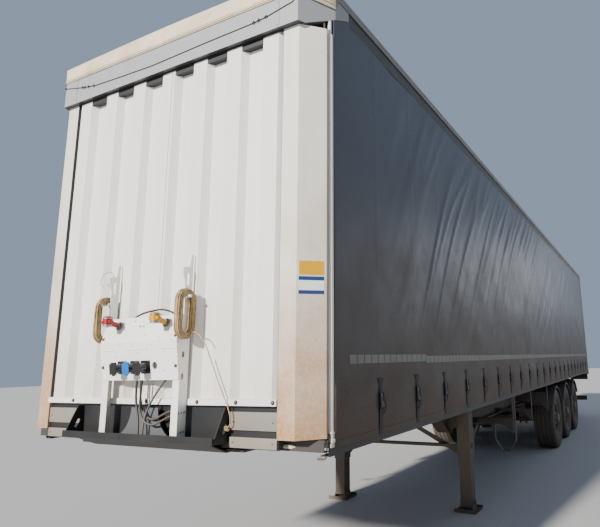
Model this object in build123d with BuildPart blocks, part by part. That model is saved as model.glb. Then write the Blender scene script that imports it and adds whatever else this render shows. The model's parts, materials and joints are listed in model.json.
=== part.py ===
"""Curtain-sided semi trailer, standing on its landing legs.

Frame: millimetres, +Z up, the ground at Z = 0.
The front of the trailer faces -Y, its own left side is +X.
The origin is on the ground, under the middle of the trailer's length.
Lengths along the trailer are measured back from the front wall, by along().
"""
from build123d import *
from math import cos, pi, radians, sin, tan
import os

os.makedirs("parts", exist_ok=True)

# Overall sizes
body_width = 2550.0
body_length = 13860.0
roof_top = 4100.0
panel_reach = 110.0
coupling_reach = 90.0
buffer_reach = 100.0
seam = 0.3

# Tyres, rims and hubs
axle_from_wall = [8075.0, 9385.0, 10695.0]
tyre_diameter = 1072.0
tyre_width = 385.0
tyre_shoulder = 24.0
wheel_track = 2040.0
rim_radius = 285.0
rim_width = 298.0
rim_wall = 11.0
rim_lip = 9.0
well_depth = 22.0
disc_offset = 110.0
disc_wall = 14.0
disc_dish = 40.0
hub_radius = 140.0
hub_cap_radius = 78.0
hub_cap_reach = 95.0
spindle_radius = 55.0
running_gap = 0.3
drum_radius = 228.0
drum_wall = 20.0
drum_back_x = 850.0
hand_holes = 10
hand_hole_radius = 26.0
hand_hole_circle = 222.0
axle_radius = 70.0

# Underframe
kingpin_from_wall = 1685.0
kingpin_neck = 25.4
kingpin_collar = 35.7
kingpin_head = 36.5
coupling_height = 1200.0
coupling_plate_wall = 8.0
coupling_plate_width = 1180.0
coupling_plate_end = 2500.0
neck_depth = 84.0
floor_wall = 28.0
beam_web = 8.0
beam_flange_width = 140.0
beam_flange = 14.0
beam_bend = 240.0
neck_end = 2900.0
haunch_end = 3420.0
beam_bottom = 860.0
tail_start = 11600.0
tail_bottom = 1040.0
cross_height = 64.0
cross_width = 45.0
cross_wall = 5.0
cross_count = 28
rave_height = 120.0
rave_wall = 6.0
rave_inset = 19.0
rave_lip = 60.0

# Landing gear
leg_from_wall = 3620.0
leg_x = 840.0
leg_housing = 150.0
leg_wall = 8.0
leg_housing_bottom = 480.0
leg_overlap = 260.0
foot_size = 260.0
foot_wall = 12.0
shaft_height = 700.0
shaft_radius = 21.0

# Axle suspension
hanger_ahead = 500.0
hanger_wall = 10.0
hanger_bottom = 480.0
pivot_height = 560.0
pivot_radius = 18.0
pivot_eye = 46.0
arm_width = 100.0
arm_back = 400.0
arm_depth = 55.0
spring_radius = 150.0
spring_clearance = 27.5
piston_radius = 105.0

# Front wall, pressed in upright corrugations
wall_bottom = 1510.0
wall_drop = 340.0
wall_depth = 75.0
crest_pitch = 304.0
crest_width = 123.0
crest_depth = 40.0
crest_run = 37.0
crest_pairs = 3
post_inner = 1013.0
post_strip = 1131.0
post_inset = 24.0
post_bottom = 1298.0
post_skin = 5.0
post_back = 205.0
ledge_height = 36.0
ledge_reach = 12.0
sill_bottom = 1240.0

# Headboard and its corner caps
headboard_reach = 35.0
headboard_back = 60.0
cap_seam = 1000.0
cap_corner = 200.0
cap_end = 365.0
cap_rise = 0.57

# Roof and sides
roof_crown = 18.0
roof_skin = 6.0
roof_inset = 3.0
front_hem = 138.0
side_hem = 55.0
rail_width = 78.0
rail_height = 145.0
rail_track = 24.0
bow_count = 22
bow_first = 600.0
bow_height = 34.0
bow_width = 40.0
curtain_skin = 6.0
curtain_inset = 7.0
curtain_bottom = 1240.0
curtain_lap = 30.0
curtain_front = 196.0
side_post_count = 3
side_post_width = 90.0
side_post_depth = 46.0
pole_radius = 22.0
pole_from_wall = 171.0

# Rear frame and doors
rear_depth = 120.0
rear_post_width = 120.0
rear_sill_height = 180.0
rear_sill_rise = 10.0
rear_header_height = 145.0
door_wall = 34.0
door_gap = 2.0
door_lap = 20.0
door_sill_gap = 15.0
door_header_lap = 70.0
meeting_gap = 6.0
hinge_inset = 19.0
hinge_back = 62.0
hinge_pin_radius = 8.0
hinge_barrel_radius = 14.0
hinge_height = 60.0
hinge_count = 4
hinge_end_gap = 175.0
strap_length = 260.0
strap_wall = 10.0

# Connection console
panel_wall = 6.0
panel_half = 345.0
panel_bottom = 1625.0
panel_ridge = 1860.0
panel_top = 2015.0
panel_lean_top = 40.0
panel_lean_bottom = 30.0
console_wall = 5.0
console_flange = 55.0
console_top = 2300.0
finger_top = 2390.0
plate_height = 1270.0
plate_half = 660.0
plate_lip = 40.0

# Places worked out from the sizes above
overall_length = coupling_reach + panel_reach + body_length + buffer_reach
front_wall_y = -overall_length / 2 + coupling_reach + panel_reach
half_width = body_width / 2
tyre_radius = tyre_diameter / 2
wheel_x = wheel_track / 2
wheel_z = tyre_radius
beam_x = wheel_x - tyre_width / 2 - spring_clearance - spring_radius
neck_bottom = coupling_height + coupling_plate_wall
floor_under = neck_bottom + neck_depth
floor_top = floor_under + floor_wall
rave_bottom = floor_top - rave_height
rave_outer = half_width - rave_inset
rave_inner = rave_outer - rave_lip
post_side = half_width - post_inset
bevel = post_side - post_strip
roof_shoulder = roof_top - roof_crown
rail_top = roof_shoulder - roof_skin - 1.0
rail_bottom = rail_top - rail_height
curtain_inner = half_width - curtain_inset - curtain_skin
rail_outer = curtain_inner - seam
rail_inner = rail_outer - rail_width
header_top = rail_top - 3.0
wall_top = roof_top - wall_drop
curtain_top = rail_bottom + curtain_lap
pole_x = curtain_inner - pole_radius
rear_sill_top = floor_top + rear_sill_rise
rear_sill_bottom = rear_sill_top - rear_sill_height
rear_header_bottom = rail_top - rear_header_height
door_bottom = rear_sill_top + door_sill_gap
door_top = rear_header_bottom + door_header_lap
hinge_x = half_width - hinge_inset
sides = [("left", 1), ("right", -1)]


def along(distance):
    """Y of a place given by its distance behind the front wall."""
    return front_wall_y + distance


def block(across, length, up, mode=Mode.ADD):
    """A box between two limits on each axis."""
    limits = [sorted(across), sorted(length), sorted(up)]
    with Locations(tuple((low + high) / 2 for low, high in limits)):
        Box(*(high - low for low, high in limits), mode=mode)


def outline(plane, points):
    """A closed face with straight edges, lying in a plane."""
    with BuildSketch(plane) as sketch:
        with BuildLine():
            Polyline(*points, close=True)
        make_face()
    return sketch.sketch


def prism(plane, points, amount, both=False, mode=Mode.ADD):
    """A straight-edged outline pushed along its plane's normal."""
    extrude(outline(plane, points), amount=amount, both=both, mode=mode)


def side_plane(x):
    """Plane at x that faces the trailer's left, its local axes along Y and Z."""
    return Plane(origin=(x, 0, 0), x_dir=(0, 1, 0), z_dir=(1, 0, 0))


def cross_plane(y):
    """Plane at y that faces the rear, its local axes along -X and Z."""
    return Plane(origin=(0, y, 0), x_dir=(-1, 0, 0), z_dir=(0, 1, 0))


def rod(start, end, radius, mode=Mode.ADD):
    """A round bar from one point to another."""
    axis = Vector(*end) - Vector(*start)
    with BuildSketch(Plane(origin=start, z_dir=axis.normalized())) as section:
        Circle(radius)
    extrude(section.sketch, amount=axis.length, mode=mode)


def cord(label, route, diameter):
    """A round cord: straight runs joined by tangent arcs as wide as the runs allow."""
    points = [Vector(x, along(y), z) for x, y, z in route]
    radii = []
    for before, corner, after in zip(points, points[1:], points[2:]):
        shorter = min((corner - before).length, (after - corner).length)
        turn = radians((corner - before).get_angle(after - corner))
        radii.append(0.45 * shorter / tan(turn / 2))
    with BuildPart() as tube:
        with BuildLine() as path:
            FilletPolyline(*points, radius=radii)
        with BuildSketch(Plane(origin=points[0], z_dir=points[1] - points[0])):
            Circle(diameter / 2)
        sweep()
    keep(tube, label)
    expected = pi * diameter**2 / 4 * path.wires()[0].length
    print(label, "length", round(path.wires()[0].length), "radii", [round(r) for r in radii],
          "volume share", round(tube.part.volume / expected, 3))


def keep(builder, label):
    """Name a finished piece and write it to its own file."""
    builder.part.label = label
    export_step(builder.part, f"parts/{label}.step")


front_end = along(-panel_reach)
rear_face = along(body_length)
frame_end = rear_face - rear_depth
axle_places = [along(distance) for distance in axle_from_wall]
hanger_places = [y - hanger_ahead for y in axle_places]
leg_y = along(leg_from_wall)

# Main beams: two welded I-beams, low at the neck and deep behind it
beam_start = along(wall_depth)
lower_line = [
    (beam_start, neck_bottom),
    (along(neck_end), neck_bottom),
    (along(haunch_end), beam_bottom),
    (along(tail_start), beam_bottom),
    (frame_end, tail_bottom),
]
cross_bottom = floor_under - cross_height
cross_first = wall_depth + cross_width
cross_pitch = (body_length - rear_depth - cross_width - cross_first) / (cross_count - 1)
cross_places = [along(cross_first + n * cross_pitch) for n in range(cross_count)]
web_outer = beam_x + beam_web / 2
web_inner = beam_x - beam_web / 2
flange_outer = beam_x + beam_flange_width / 2
flange_inner = beam_x - beam_flange_width / 2


def beam_side(x, lift, top):
    """A beam's side with rounded bends below, its lower edge raised by lift."""
    lower = [(y, z + lift) for y, z in lower_line]
    with BuildSketch(side_plane(x)) as side_view:
        with BuildLine():
            FilletPolyline(*lower, radius=beam_bend)
            Polyline(lower[-1], (frame_end, top), (beam_start, top), lower[0])
        make_face()
    return side_view.sketch


with BuildPart() as main_beams:
    for name, side in sides:
        x = side * beam_x
        extrude(beam_side(x, 0, floor_under), amount=beam_flange_width / 2, both=True)
        for outward in (-1, 1):
            hollow = beam_side(x + outward * beam_web / 2, beam_flange, floor_under - beam_flange)
            extrude(hollow, amount=outward * beam_flange_width, mode=Mode.SUBTRACT)
        for y in hanger_places + [leg_y]:
            block((side * (flange_inner + 4), side * (flange_outer - 4)), (y - 5, y + 5),
                  (beam_bottom + 1, floor_under - 1))
    for y in cross_places:
        block((-half_width, half_width), (y - cross_width / 2, y + cross_width / 2),
              (cross_bottom, floor_under), mode=Mode.SUBTRACT)
keep(main_beams, "main_beams")

# Cross members: channels through the beams, open to the rear
with BuildPart() as cross_members:
    for y in cross_places:
        front = y - cross_width / 2
        back = y + cross_width / 2
        section = [
            (front, cross_bottom),
            (back, cross_bottom),
            (back, cross_bottom + cross_wall),
            (front + cross_wall, cross_bottom + cross_wall),
            (front + cross_wall, floor_under - cross_wall),
            (back, floor_under - cross_wall),
            (back, floor_under),
            (front, floor_under),
        ]
        prism(side_plane(0), section, rave_outer - rave_wall, both=True)
keep(cross_members, "cross_members")

# Side raves: pressed channels that close the floor's edges, open inward
rave_start = along(post_back - 65.0)
with BuildPart() as side_raves:
    for name, side in sides:
        section = [
            (rave_inner, rave_bottom),
            (rave_outer, rave_bottom),
            (rave_outer, floor_top),
            (rave_inner, floor_top),
            (rave_inner, floor_top - rave_wall),
            (rave_outer - rave_wall, floor_top - rave_wall),
            (rave_outer - rave_wall, rave_bottom + rave_wall),
            (rave_inner, rave_bottom + rave_wall),
        ]
        points = [(-side * x, z) for x, z in section]
        prism(cross_plane(rave_start), points, frame_end - rave_start)
keep(side_raves, "side_raves")

# Floor boards, notched round the front posts
with BuildPart() as floor:
    points = [(-rave_inner, along(post_back)), (-post_inner, along(post_back)),
              (-post_inner, along(wall_depth)), (post_inner, along(wall_depth)),
              (post_inner, along(post_back)), (rave_inner, along(post_back)),
              (rave_inner, frame_end), (-rave_inner, frame_end)]
    prism(Plane.XY.offset(floor_under), points, floor_wall)
keep(floor, "floor")

# Coupling plate under the neck, its front edge turned up
plate_front = along(-60.0)
plate_rise = 60.0
with BuildPart() as coupling_plate:
    profile = [
        (plate_front, coupling_height + plate_rise),
        (beam_start, coupling_height),
        (along(coupling_plate_end), coupling_height),
        (along(coupling_plate_end), neck_bottom),
        (beam_start, neck_bottom),
        (plate_front, neck_bottom + plate_rise),
    ]
    prism(side_plane(0), profile, coupling_plate_width / 2, both=True)
keep(coupling_plate, "coupling_plate")

# Kingpin of two inches: radius and depth under the plate of each step
kingpin_steps = [
    (kingpin_head, 13.0),
    (kingpin_neck, 47.0),
    (kingpin_collar, 82.0),
]
with BuildPart() as kingpin:
    depth = 0.0
    for radius, end in kingpin_steps:
        y = along(kingpin_from_wall)
        rod((0, y, coupling_height - end), (0, y, coupling_height - depth), radius)
        depth = end
keep(kingpin, "kingpin")

# Front wall: crests and valleys between flat edges, lined behind
wall_points = [(-post_inner, wall_depth), (-post_inner, crest_depth)]
for n in range(-crest_pairs, crest_pairs + 1):
    middle = n * crest_pitch
    wall_points += [
        (middle - crest_width / 2 - crest_run, crest_depth),
        (middle - crest_width / 2, 0),
        (middle + crest_width / 2, 0),
        (middle + crest_width / 2 + crest_run, crest_depth),
    ]
wall_points += [(post_inner, crest_depth), (post_inner, wall_depth)]
with BuildPart() as front_wall:
    points = [(x, along(y)) for x, y in wall_points]
    prism(Plane.XY.offset(wall_bottom), points, wall_top - wall_bottom)
keep(front_wall, "front_wall")

# Front corner posts: bent skins, flat in front, bevelled, then turned in behind the bevel
post_return = 60.0
post_turn = bevel + 12.0
with BuildPart() as front_posts:
    for name, side in sides:
        outer = [(post_inner, wall_depth), (post_inner, 0), (post_strip, 0), (post_side, bevel),
                 (post_side, post_turn), (post_side - post_return, post_turn),
                 (post_side - post_return, post_back)]
        inner = [(post_side - post_return - post_skin, post_back),
                 (post_side - post_return - post_skin, post_turn - post_skin),
                 (post_side - post_skin, post_turn - post_skin),
                 (post_side - post_skin, bevel + post_skin / 2),
                 (post_strip - post_skin / 2, post_skin), (post_inner + post_skin, post_skin),
                 (post_inner + post_skin, wall_depth)]
        points = [(side * x, along(y)) for x, y in outer + inner]
        prism(Plane.XY.offset(post_bottom), points, wall_top - post_bottom)
keep(front_posts, "front_posts")

# Headboard over the front wall, and a cap on each corner whose lower edge sweeps up
cap_side = half_width - roof_inset - roof_skin - 1.0
cap_low = [(-headboard_reach, wall_top), (8.0, wall_top),
           (cap_end, wall_top + (cap_end - 8.0) * cap_rise)]
cap_parts = []
for name, side in sides:
    corner = [(cap_seam + seam, -headboard_reach), (post_strip + 14.0, -headboard_reach),
              (cap_side, cap_corner), (rail_inner, cap_corner), (cap_seam + seam, headboard_back)]
    flank = [(rail_inner, cap_corner + seam), (cap_side, cap_corner + seam),
             (cap_side, cap_end), (rail_inner, cap_end)]
    for plan in (corner, flank):
        with BuildPart() as cap:
            points = [(side * x, along(y)) for x, y in plan]
            prism(Plane.XY.offset(wall_top), points, header_top - wall_top)
            swept = cap_low + [(cap_end, header_top), (-headboard_reach, header_top)]
            points = [(along(y), z) for y, z in swept]
            prism(side_plane(0), points, half_width, both=True, mode=Mode.INTERSECT)
        cap_parts.append(cap.part)
with BuildPart() as headboard:
    block((-cap_seam, cap_seam), (along(-headboard_reach), along(headboard_back)),
          (wall_top, header_top))
    add(cap_parts)
keep(headboard, "headboard")

# Front sill: a white ledge under the front wall, on a deep closed member
with BuildPart() as front_sill:
    ledge_bottom = wall_bottom - ledge_height
    block((-post_inner, post_inner), (along(-ledge_reach), along(wall_depth)),
          (ledge_bottom, wall_bottom))
    block((-post_inner, post_inner), (along(20.0), along(60.0)), (sill_bottom, ledge_bottom))
keep(front_sill, "front_sill")

# Cant rails along the roof edges, grooved below for the curtain rollers
with BuildPart() as cant_rails:
    for name, side in sides:
        track = pole_x - rail_track / 2
        section = [
            (rail_inner, rail_bottom),
            (track, rail_bottom),
            (track, rail_bottom + rail_track),
            (track + rail_track, rail_bottom + rail_track),
            (track + rail_track, rail_bottom),
            (rail_outer, rail_bottom),
            (rail_outer, rail_top),
            (rail_inner, rail_top),
        ]
        points = [(-side * x, z) for x, z in section]
        prism(cross_plane(along(cap_end)), points, frame_end - along(cap_end))
keep(cant_rails, "cant_rails")

# Roof sheet: crowned, its hem deep in front and shallow along the sides
roof_edge = half_width - roof_inset


def roof_block(inset, overrun):
    """The roof's outline in plan, under its crown, drawn in by an amount."""
    front = -headboard_reach - roof_skin - 1.0 + inset
    corner_x = post_strip + 14.0 + 3.0 - inset / 2
    corner_y = cap_corner - 4.0 + inset / 2
    edge = roof_edge - inset
    plan = [(-edge, frame_end + overrun), (-edge, along(corner_y)), (-corner_x, along(front)),
            (corner_x, along(front)), (edge, along(corner_y)), (edge, frame_end + overrun)]
    hem_bottom = roof_top - front_hem - overrun
    prism(Plane.XY.offset(hem_bottom), plan, front_hem + overrun)
    crown = [(-edge, hem_bottom), (-edge, roof_shoulder - inset), (0, roof_top - inset),
             (edge, roof_shoulder - inset), (edge, hem_bottom)]
    prism(cross_plane(along(front)), crown, body_length * 2, mode=Mode.INTERSECT)


with BuildPart() as roof_inside:
    roof_block(roof_skin, 10.0)
with BuildPart() as roof_sheet:
    roof_block(0.0, 0.0)
    add(roof_inside.part, mode=Mode.SUBTRACT)
    for name, side in sides:
        block((side * (roof_edge - 2 * roof_skin), side * half_width * 1.1),
              (along(cap_corner + 15.0), frame_end), (rail_bottom, roof_top - side_hem),
              mode=Mode.SUBTRACT)
keep(roof_sheet, "roof_sheet")

# Curtains, one closed sheet a side
curtain_start = along(curtain_front)
curtain_end = frame_end - 30.0
for name, side in sides:
    with BuildPart() as curtain:
        sheet = [
            (curtain_start, curtain_bottom),
            (curtain_end, curtain_bottom),
            (curtain_end, curtain_top),
            (along(cap_end), curtain_top),
            (curtain_start, wall_top + (curtain_front - 8.0) * cap_rise - 3.0),
        ]
        prism(side_plane(side * curtain_inner), sheet, side * curtain_skin)
    keep(curtain, f"curtain_{name}")

# Curtain straps with their buckles, along each curtain's lower edge
strap_first = 717.0
strap_pitch = 590.0
strap_count = 22
strap_width = 44.0
strap_skin = 4.0
strap_top = 1590.0
buckle_width = 54.0
buckle_reach = 20.0
buckle_top = 1505.0
buckle_bottom = 1395.0
strap_face = curtain_inner + curtain_skin
with BuildPart() as curtain_straps:
    for n in range(strap_count):
        y = along(strap_first + n * strap_pitch)
        for name, side in sides:
            block((side * strap_face, side * (strap_face + strap_skin)),
                  (y - strap_width / 2, y + strap_width / 2), (curtain_bottom, strap_top))
            buckle = [
                (strap_face + strap_skin / 2, buckle_bottom),
                (strap_face + strap_skin + 6.0, buckle_bottom),
                (strap_face + buckle_reach, buckle_bottom + 55.0),
                (strap_face + buckle_reach - 4.0, buckle_top - 15.0),
                (strap_face + strap_skin / 2, buckle_top),
            ]
            points = [(-side * x, z) for x, z in buckle]
            prism(cross_plane(y - buckle_width / 2), points, buckle_width)
keep(curtain_straps, "curtain_straps")

# Curtain tensioner poles at the ends of each curtain, the front ones capped under the headboard
pole_back = curtain_end - pole_radius
pole_plug = 12.0
front_pole_top = wall_top - 8.0
with BuildPart() as curtain_poles:
    for name, side in sides:
        x = side * pole_x
        y = along(pole_from_wall)
        rod((x, y, floor_top), (x, y, front_pole_top), pole_radius)
        fillet(edges().filter_by(GeomType.CIRCLE).group_by(Axis.Z)[-1], pole_radius / 2)
    for name, side in sides:
        x = side * pole_x
        y = along(pole_from_wall)
        under_cap = wall_top + (pole_from_wall - pole_plug - 8.0) * cap_rise
        rod((x, y, front_pole_top - 1.0), (x, y, under_cap), pole_plug)
        rod((x, pole_back, floor_top), (x, pole_back, rail_bottom), pole_radius)
keep(curtain_poles, "curtain_poles")

# Body frame: bows between the cant rails, and side posts between each rave and its rail
bow_pitch = (body_length - rear_depth - 2 * bow_first) / (bow_count - 1)
bow_top = rail_top - 2.0
with BuildPart() as body_frame:
    for n in range(bow_count):
        y = along(bow_first + n * bow_pitch)
        block((-rail_inner, rail_inner), (y - bow_width / 2, y + bow_width / 2),
              (bow_top - bow_height, bow_top))
    for name, side in sides:
        for n in range(side_post_count):
            y = along(wall_depth + (n + 1) * (body_length - rear_depth) / (side_post_count + 1))
            x = side * (rave_outer - 2.0)
            block((x, x - side * side_post_depth),
                  (y - side_post_width / 2, y + side_post_width / 2), (floor_top, rail_bottom))
keep(body_frame, "body_frame")

# Landing legs: square tubes hung from the beams by plates and gussets, with a gearbox
half_leg = leg_housing / 2
leg_top = cross_bottom - 20.0
mount_bottom = beam_bottom + 50.0
mount_half = 125.0
gusset_wall = 8.0
gear_bottom = shaft_height - 70.0
gear_top = shaft_height + 190.0
gear_reach = 62.0
with BuildPart() as landing_legs:
    for name, side in sides:
        x = side * leg_x
        block((x - half_leg, x + half_leg), (leg_y - half_leg, leg_y + half_leg),
              (leg_housing_bottom, leg_top))
        bore = half_leg - leg_wall
        block((x - bore, x + bore), (leg_y - bore, leg_y + bore),
              (leg_housing_bottom - 1, leg_top - leg_wall), mode=Mode.SUBTRACT)
        inner_face = side * (leg_x - half_leg)
        block((inner_face, inner_face - side * 10.0), (leg_y - mount_half, leg_y + mount_half),
              (mount_bottom, leg_top))
        for place in (-mount_half + gusset_wall, mount_half - gusset_wall):
            y = leg_y + place
            gusset = [(-side * web_outer, beam_bottom + beam_flange),
                      (-side * (flange_outer + 2), beam_bottom + beam_flange),
                      (-side * (leg_x - half_leg - 5), mount_bottom + 40),
                      (-side * (leg_x - half_leg - 5), leg_top), (-side * web_outer, leg_top)]
            prism(cross_plane(y - gusset_wall / 2), gusset, gusset_wall)
        # collar where the shaft enters
        rod((inner_face, leg_y, shaft_height),
            (inner_face - side * 26.0, leg_y, shaft_height), 52.0)
        # gear housing behind the leg
        block((x - half_leg + 12, x + half_leg - 12), (leg_y + half_leg, leg_y + half_leg + gear_reach),
              (gear_bottom, gear_top))
keep(landing_legs, "landing_legs")

# Inner legs that slide in the housings, each on a tilting foot
leg_inner = leg_housing - 2 * leg_wall - 2 * seam
foot_pivot = 95.0
cheek_wall = 10.0
with BuildPart() as landing_feet:
    for name, side in sides:
        x = side * leg_x
        half = leg_inner / 2
        block((x - half, x + half), (leg_y - half, leg_y + half),
              (foot_pivot - 45.0, leg_housing_bottom + leg_overlap))
        block((x - half + leg_wall, x + half - leg_wall), (leg_y - half + leg_wall, leg_y + half - leg_wall),
              (foot_pivot + 40.0, leg_housing_bottom + leg_overlap + 1), mode=Mode.SUBTRACT)
        block((x - foot_size / 2, x + foot_size / 2), (leg_y - foot_size / 2, leg_y + foot_size / 2),
              (0, foot_wall))
        for end in (-1, 1):
            block((x - foot_size / 2, x + foot_size / 2),
                  (leg_y + end * foot_size / 2, leg_y + end * (foot_size / 2 - foot_wall)), (0, 38.0))
            cheek = [(leg_y - 90, foot_wall / 2), (leg_y + 90, foot_wall / 2),
                     (leg_y + 32, foot_pivot + 34), (leg_y - 32, foot_pivot + 34)]
            outer = x + end * (half + cheek_wall)
            prism(side_plane(outer), cheek, -end * cheek_wall)
        rod((x - half - 24, leg_y, foot_pivot), (x + half + 24, leg_y, foot_pivot), 19.0)
keep(landing_feet, "landing_feet")

# Braces of the legs: diagonals up to a cross tube, and stays back to the beams.
# With them is the shaft that turns both legs together, and its crank on the right-hand side.
collar_reach = 26.0
crank_radius = 11.0
crank_x = -(leg_x + half_leg)
crank_line = [
    (crank_x, leg_y, shaft_height),
    (crank_x - 150, leg_y, shaft_height),
    (crank_x - 190, leg_y, shaft_height - 260),
    (crank_x - 310, leg_y, shaft_height - 260),
]
brace_wall = 12.0
brace_top = 1010.0
brace_low = 605.0
tube_half = 20.0
stay_length = 760.0
with BuildPart() as leg_braces:
    with BuildLine() as path:
        FilletPolyline(*crank_line, radius=30.0)
    with BuildSketch(Plane(origin=crank_line[0], z_dir=(-1, 0, 0))):
        Circle(crank_radius)
    sweep()
    reach = leg_x - half_leg - collar_reach
    rod((-reach, leg_y, shaft_height), (reach, leg_y, shaft_height), shaft_radius)
    y = leg_y + half_leg - tube_half - 2.0
    block((-web_inner, web_inner), (y - tube_half, y + tube_half),
          (brace_top - tube_half, brace_top + tube_half))
    block((-60, 60), (y - brace_wall, y), (brace_top - 90, brace_top))
    for name, side in sides:
        leg_face = side * (leg_x - half_leg)
        brace = [(-leg_face, brace_low - 30), (-leg_face, brace_low + 30),
                 (-side * 40, brace_top - 5), (-side * 40, brace_top - 60)]
        prism(cross_plane(y - brace_wall), brace, brace_wall)
for name, side in sides:
    with BuildPart() as leg_stay:
        back = leg_y + stay_length
        front = leg_y + half_leg
        stay = [(front, brace_low - 75), (back, beam_bottom - 38), (back, beam_bottom + beam_flange),
                (back - 60, beam_bottom + beam_flange), (front, brace_low - 20)]
        prism(side_plane(side * (leg_x - half_leg)), stay, side * brace_wall)
        block((side * flange_outer, side * (leg_x - half_leg + 1)), (back - 90, back),
              (beam_bottom, beam_bottom + beam_flange))
    leg_braces.part += leg_stay.part
keep(leg_braces, "leg_braces")

# Axles: a tube with a spindle at each end, seats for the arms, brake flanges and chambers
axle_end = wheel_x - rim_width / 2 - 30.0
spindle_end = wheel_x + disc_offset + 20.0
seat_length = 170.0
chamber_x = 400.0
chamber_radius = 78.0
with BuildPart() as axles:
    for y in axle_places:
        rod((-axle_end, y, wheel_z), (axle_end, y, wheel_z), axle_radius)
        rod((-spindle_end, y, wheel_z), (spindle_end, y, wheel_z), spindle_radius)
        for name, side in sides:
            x = side * beam_x
            block((x - arm_width / 2, x + arm_width / 2), (y - seat_length / 2, y + seat_length / 2),
                  (wheel_z - 20, wheel_z + axle_radius))
            shield_x = side * (drum_back_x - 14.0)
            rod((shield_x, y, wheel_z), (shield_x + side * 8.0, y, wheel_z), drum_radius - 24.0)
            # brake chamber on a bracket ahead of the tube
            x = side * chamber_x
            z = wheel_z + 20.0
            front = y - axle_radius - 60.0
            rod((x, front, z), (x, front - 75, z), chamber_radius)
            rod((x, front - 76, z), (x, front - 190, z), chamber_radius - 9)
            rod((x, front - 62, z), (x, front - 86, z), chamber_radius + 9)
            block((x - 30, x + 30), (front - 5, y - axle_radius + 20), (z - 50, z + 30))
keep(axles, "axles")

# Hangers under the beams, ahead of each axle, with a bolt through each
cheek_gap = arm_width / 2 + seam
with BuildPart() as axle_hangers:
    for y in hanger_places:
        for name, side in sides:
            x = side * beam_x
            for edge in (-1, 1):
                cheek = [(y - 150, beam_bottom), (y + 120, beam_bottom), (y + 62, hanger_bottom + 30),
                         (y + 30, hanger_bottom), (y - 30, hanger_bottom),
                         (y - 62, hanger_bottom + 30)]
                prism(side_plane(x + edge * cheek_gap), cheek, edge * hanger_wall)
            front = [(y - 150, beam_bottom), (y - 140, beam_bottom),
                     (y - 82, hanger_bottom + 130), (y - 92, hanger_bottom + 130)]
            prism(side_plane(x), front, cheek_gap + 1, both=True)
            reach = cheek_gap + hanger_wall + 16.0
            rod((x - reach, y, pivot_height), (x + reach, y, pivot_height), pivot_radius)
keep(axle_hangers, "axle_hangers")

# Trailing arms: an eye at the hanger, over the axle and back to the air spring
spring_seat = wheel_z + axle_radius + arm_depth
with BuildPart() as trailing_arms:
    for y in axle_places:
        for name, side in sides:
            x = side * beam_x
            front = y - hanger_ahead
            arm = [
                (front - 10, pivot_height + pivot_eye - 4),
                (y - 190, spring_seat),
                (y + arm_back + 120, spring_seat),
                (y + arm_back + 120, spring_seat - 24),
                (y + 130, spring_seat - arm_depth),
                (y - 150, spring_seat - arm_depth),
                (front + 10, pivot_height - pivot_eye + 4),
            ]
            prism(side_plane(x), arm, arm_width / 2, both=True)
            rod((x - arm_width / 2, front, pivot_height), (x + arm_width / 2, front, pivot_height),
                pivot_eye)
            rod((x - arm_width, front, pivot_height), (x + arm_width, front, pivot_height),
                pivot_radius + seam, mode=Mode.SUBTRACT)
keep(trailing_arms, "trailing_arms")

# Air springs between the arms and the beams: piston, bellows and top plate
spring_top = beam_bottom - spring_seat
with BuildPart() as air_springs:
    for y in axle_places:
        for name, side in sides:
            with BuildSketch(Plane(origin=(side * beam_x, y + arm_back, spring_seat),
                                   x_dir=(1, 0, 0), z_dir=(0, -1, 0))) as half_section:
                with BuildLine():
                    Polyline((0, 0), (piston_radius - 15, 0), (piston_radius, spring_top * 0.4))
                    ThreePointArc((piston_radius, spring_top * 0.4),
                                  (spring_radius, spring_top * 0.68),
                                  (piston_radius + 20, spring_top - 10))
                    Polyline((piston_radius + 20, spring_top - 10), (piston_radius + 20, spring_top),
                             (0, spring_top), (0, 0))
                make_face()
            revolve(half_section.sketch,
                    axis=Axis((side * beam_x, y + arm_back, 0), (0, 0, 1)))
keep(air_springs, "air_springs")

# Shock absorbers beside the arms, from a bracket on the axle to one on the beam
shock_x = beam_x - arm_width / 2 - 45.0
shock_low = (-100.0, wheel_z - 10.0)
shock_high = (-430.0, beam_bottom - 45.0)
with BuildPart() as shock_absorbers:
    for y in axle_places:
        for name, side in sides:
            low = Vector(side * shock_x, y + shock_low[0], shock_low[1])
            high = Vector(side * shock_x, y + shock_high[0], shock_high[1])
            middle = low + (high - low) * 0.45
            rod(low, high, 16.0)
            rod(middle, high, 34.0)
            for eye in (low, high):
                rod((eye.X - 26, eye.Y, eye.Z), (eye.X + 26, eye.Y, eye.Z), 30.0)
            block((side * shock_x - 8, side * shock_x + 8), (low.Y - 30, y - axle_radius - seam),
                  (wheel_z - 40, wheel_z + 20))
            block((side * shock_x - 20, side * shock_x + 20), (high.Y - 30, high.Y + 30),
                  (high.Z, beam_bottom))
            block((side * (shock_x - 20), side * flange_inner), (high.Y - 30, high.Y + 30),
                  (beam_bottom - 8, beam_bottom))
keep(shock_absorbers, "shock_absorbers")

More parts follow.
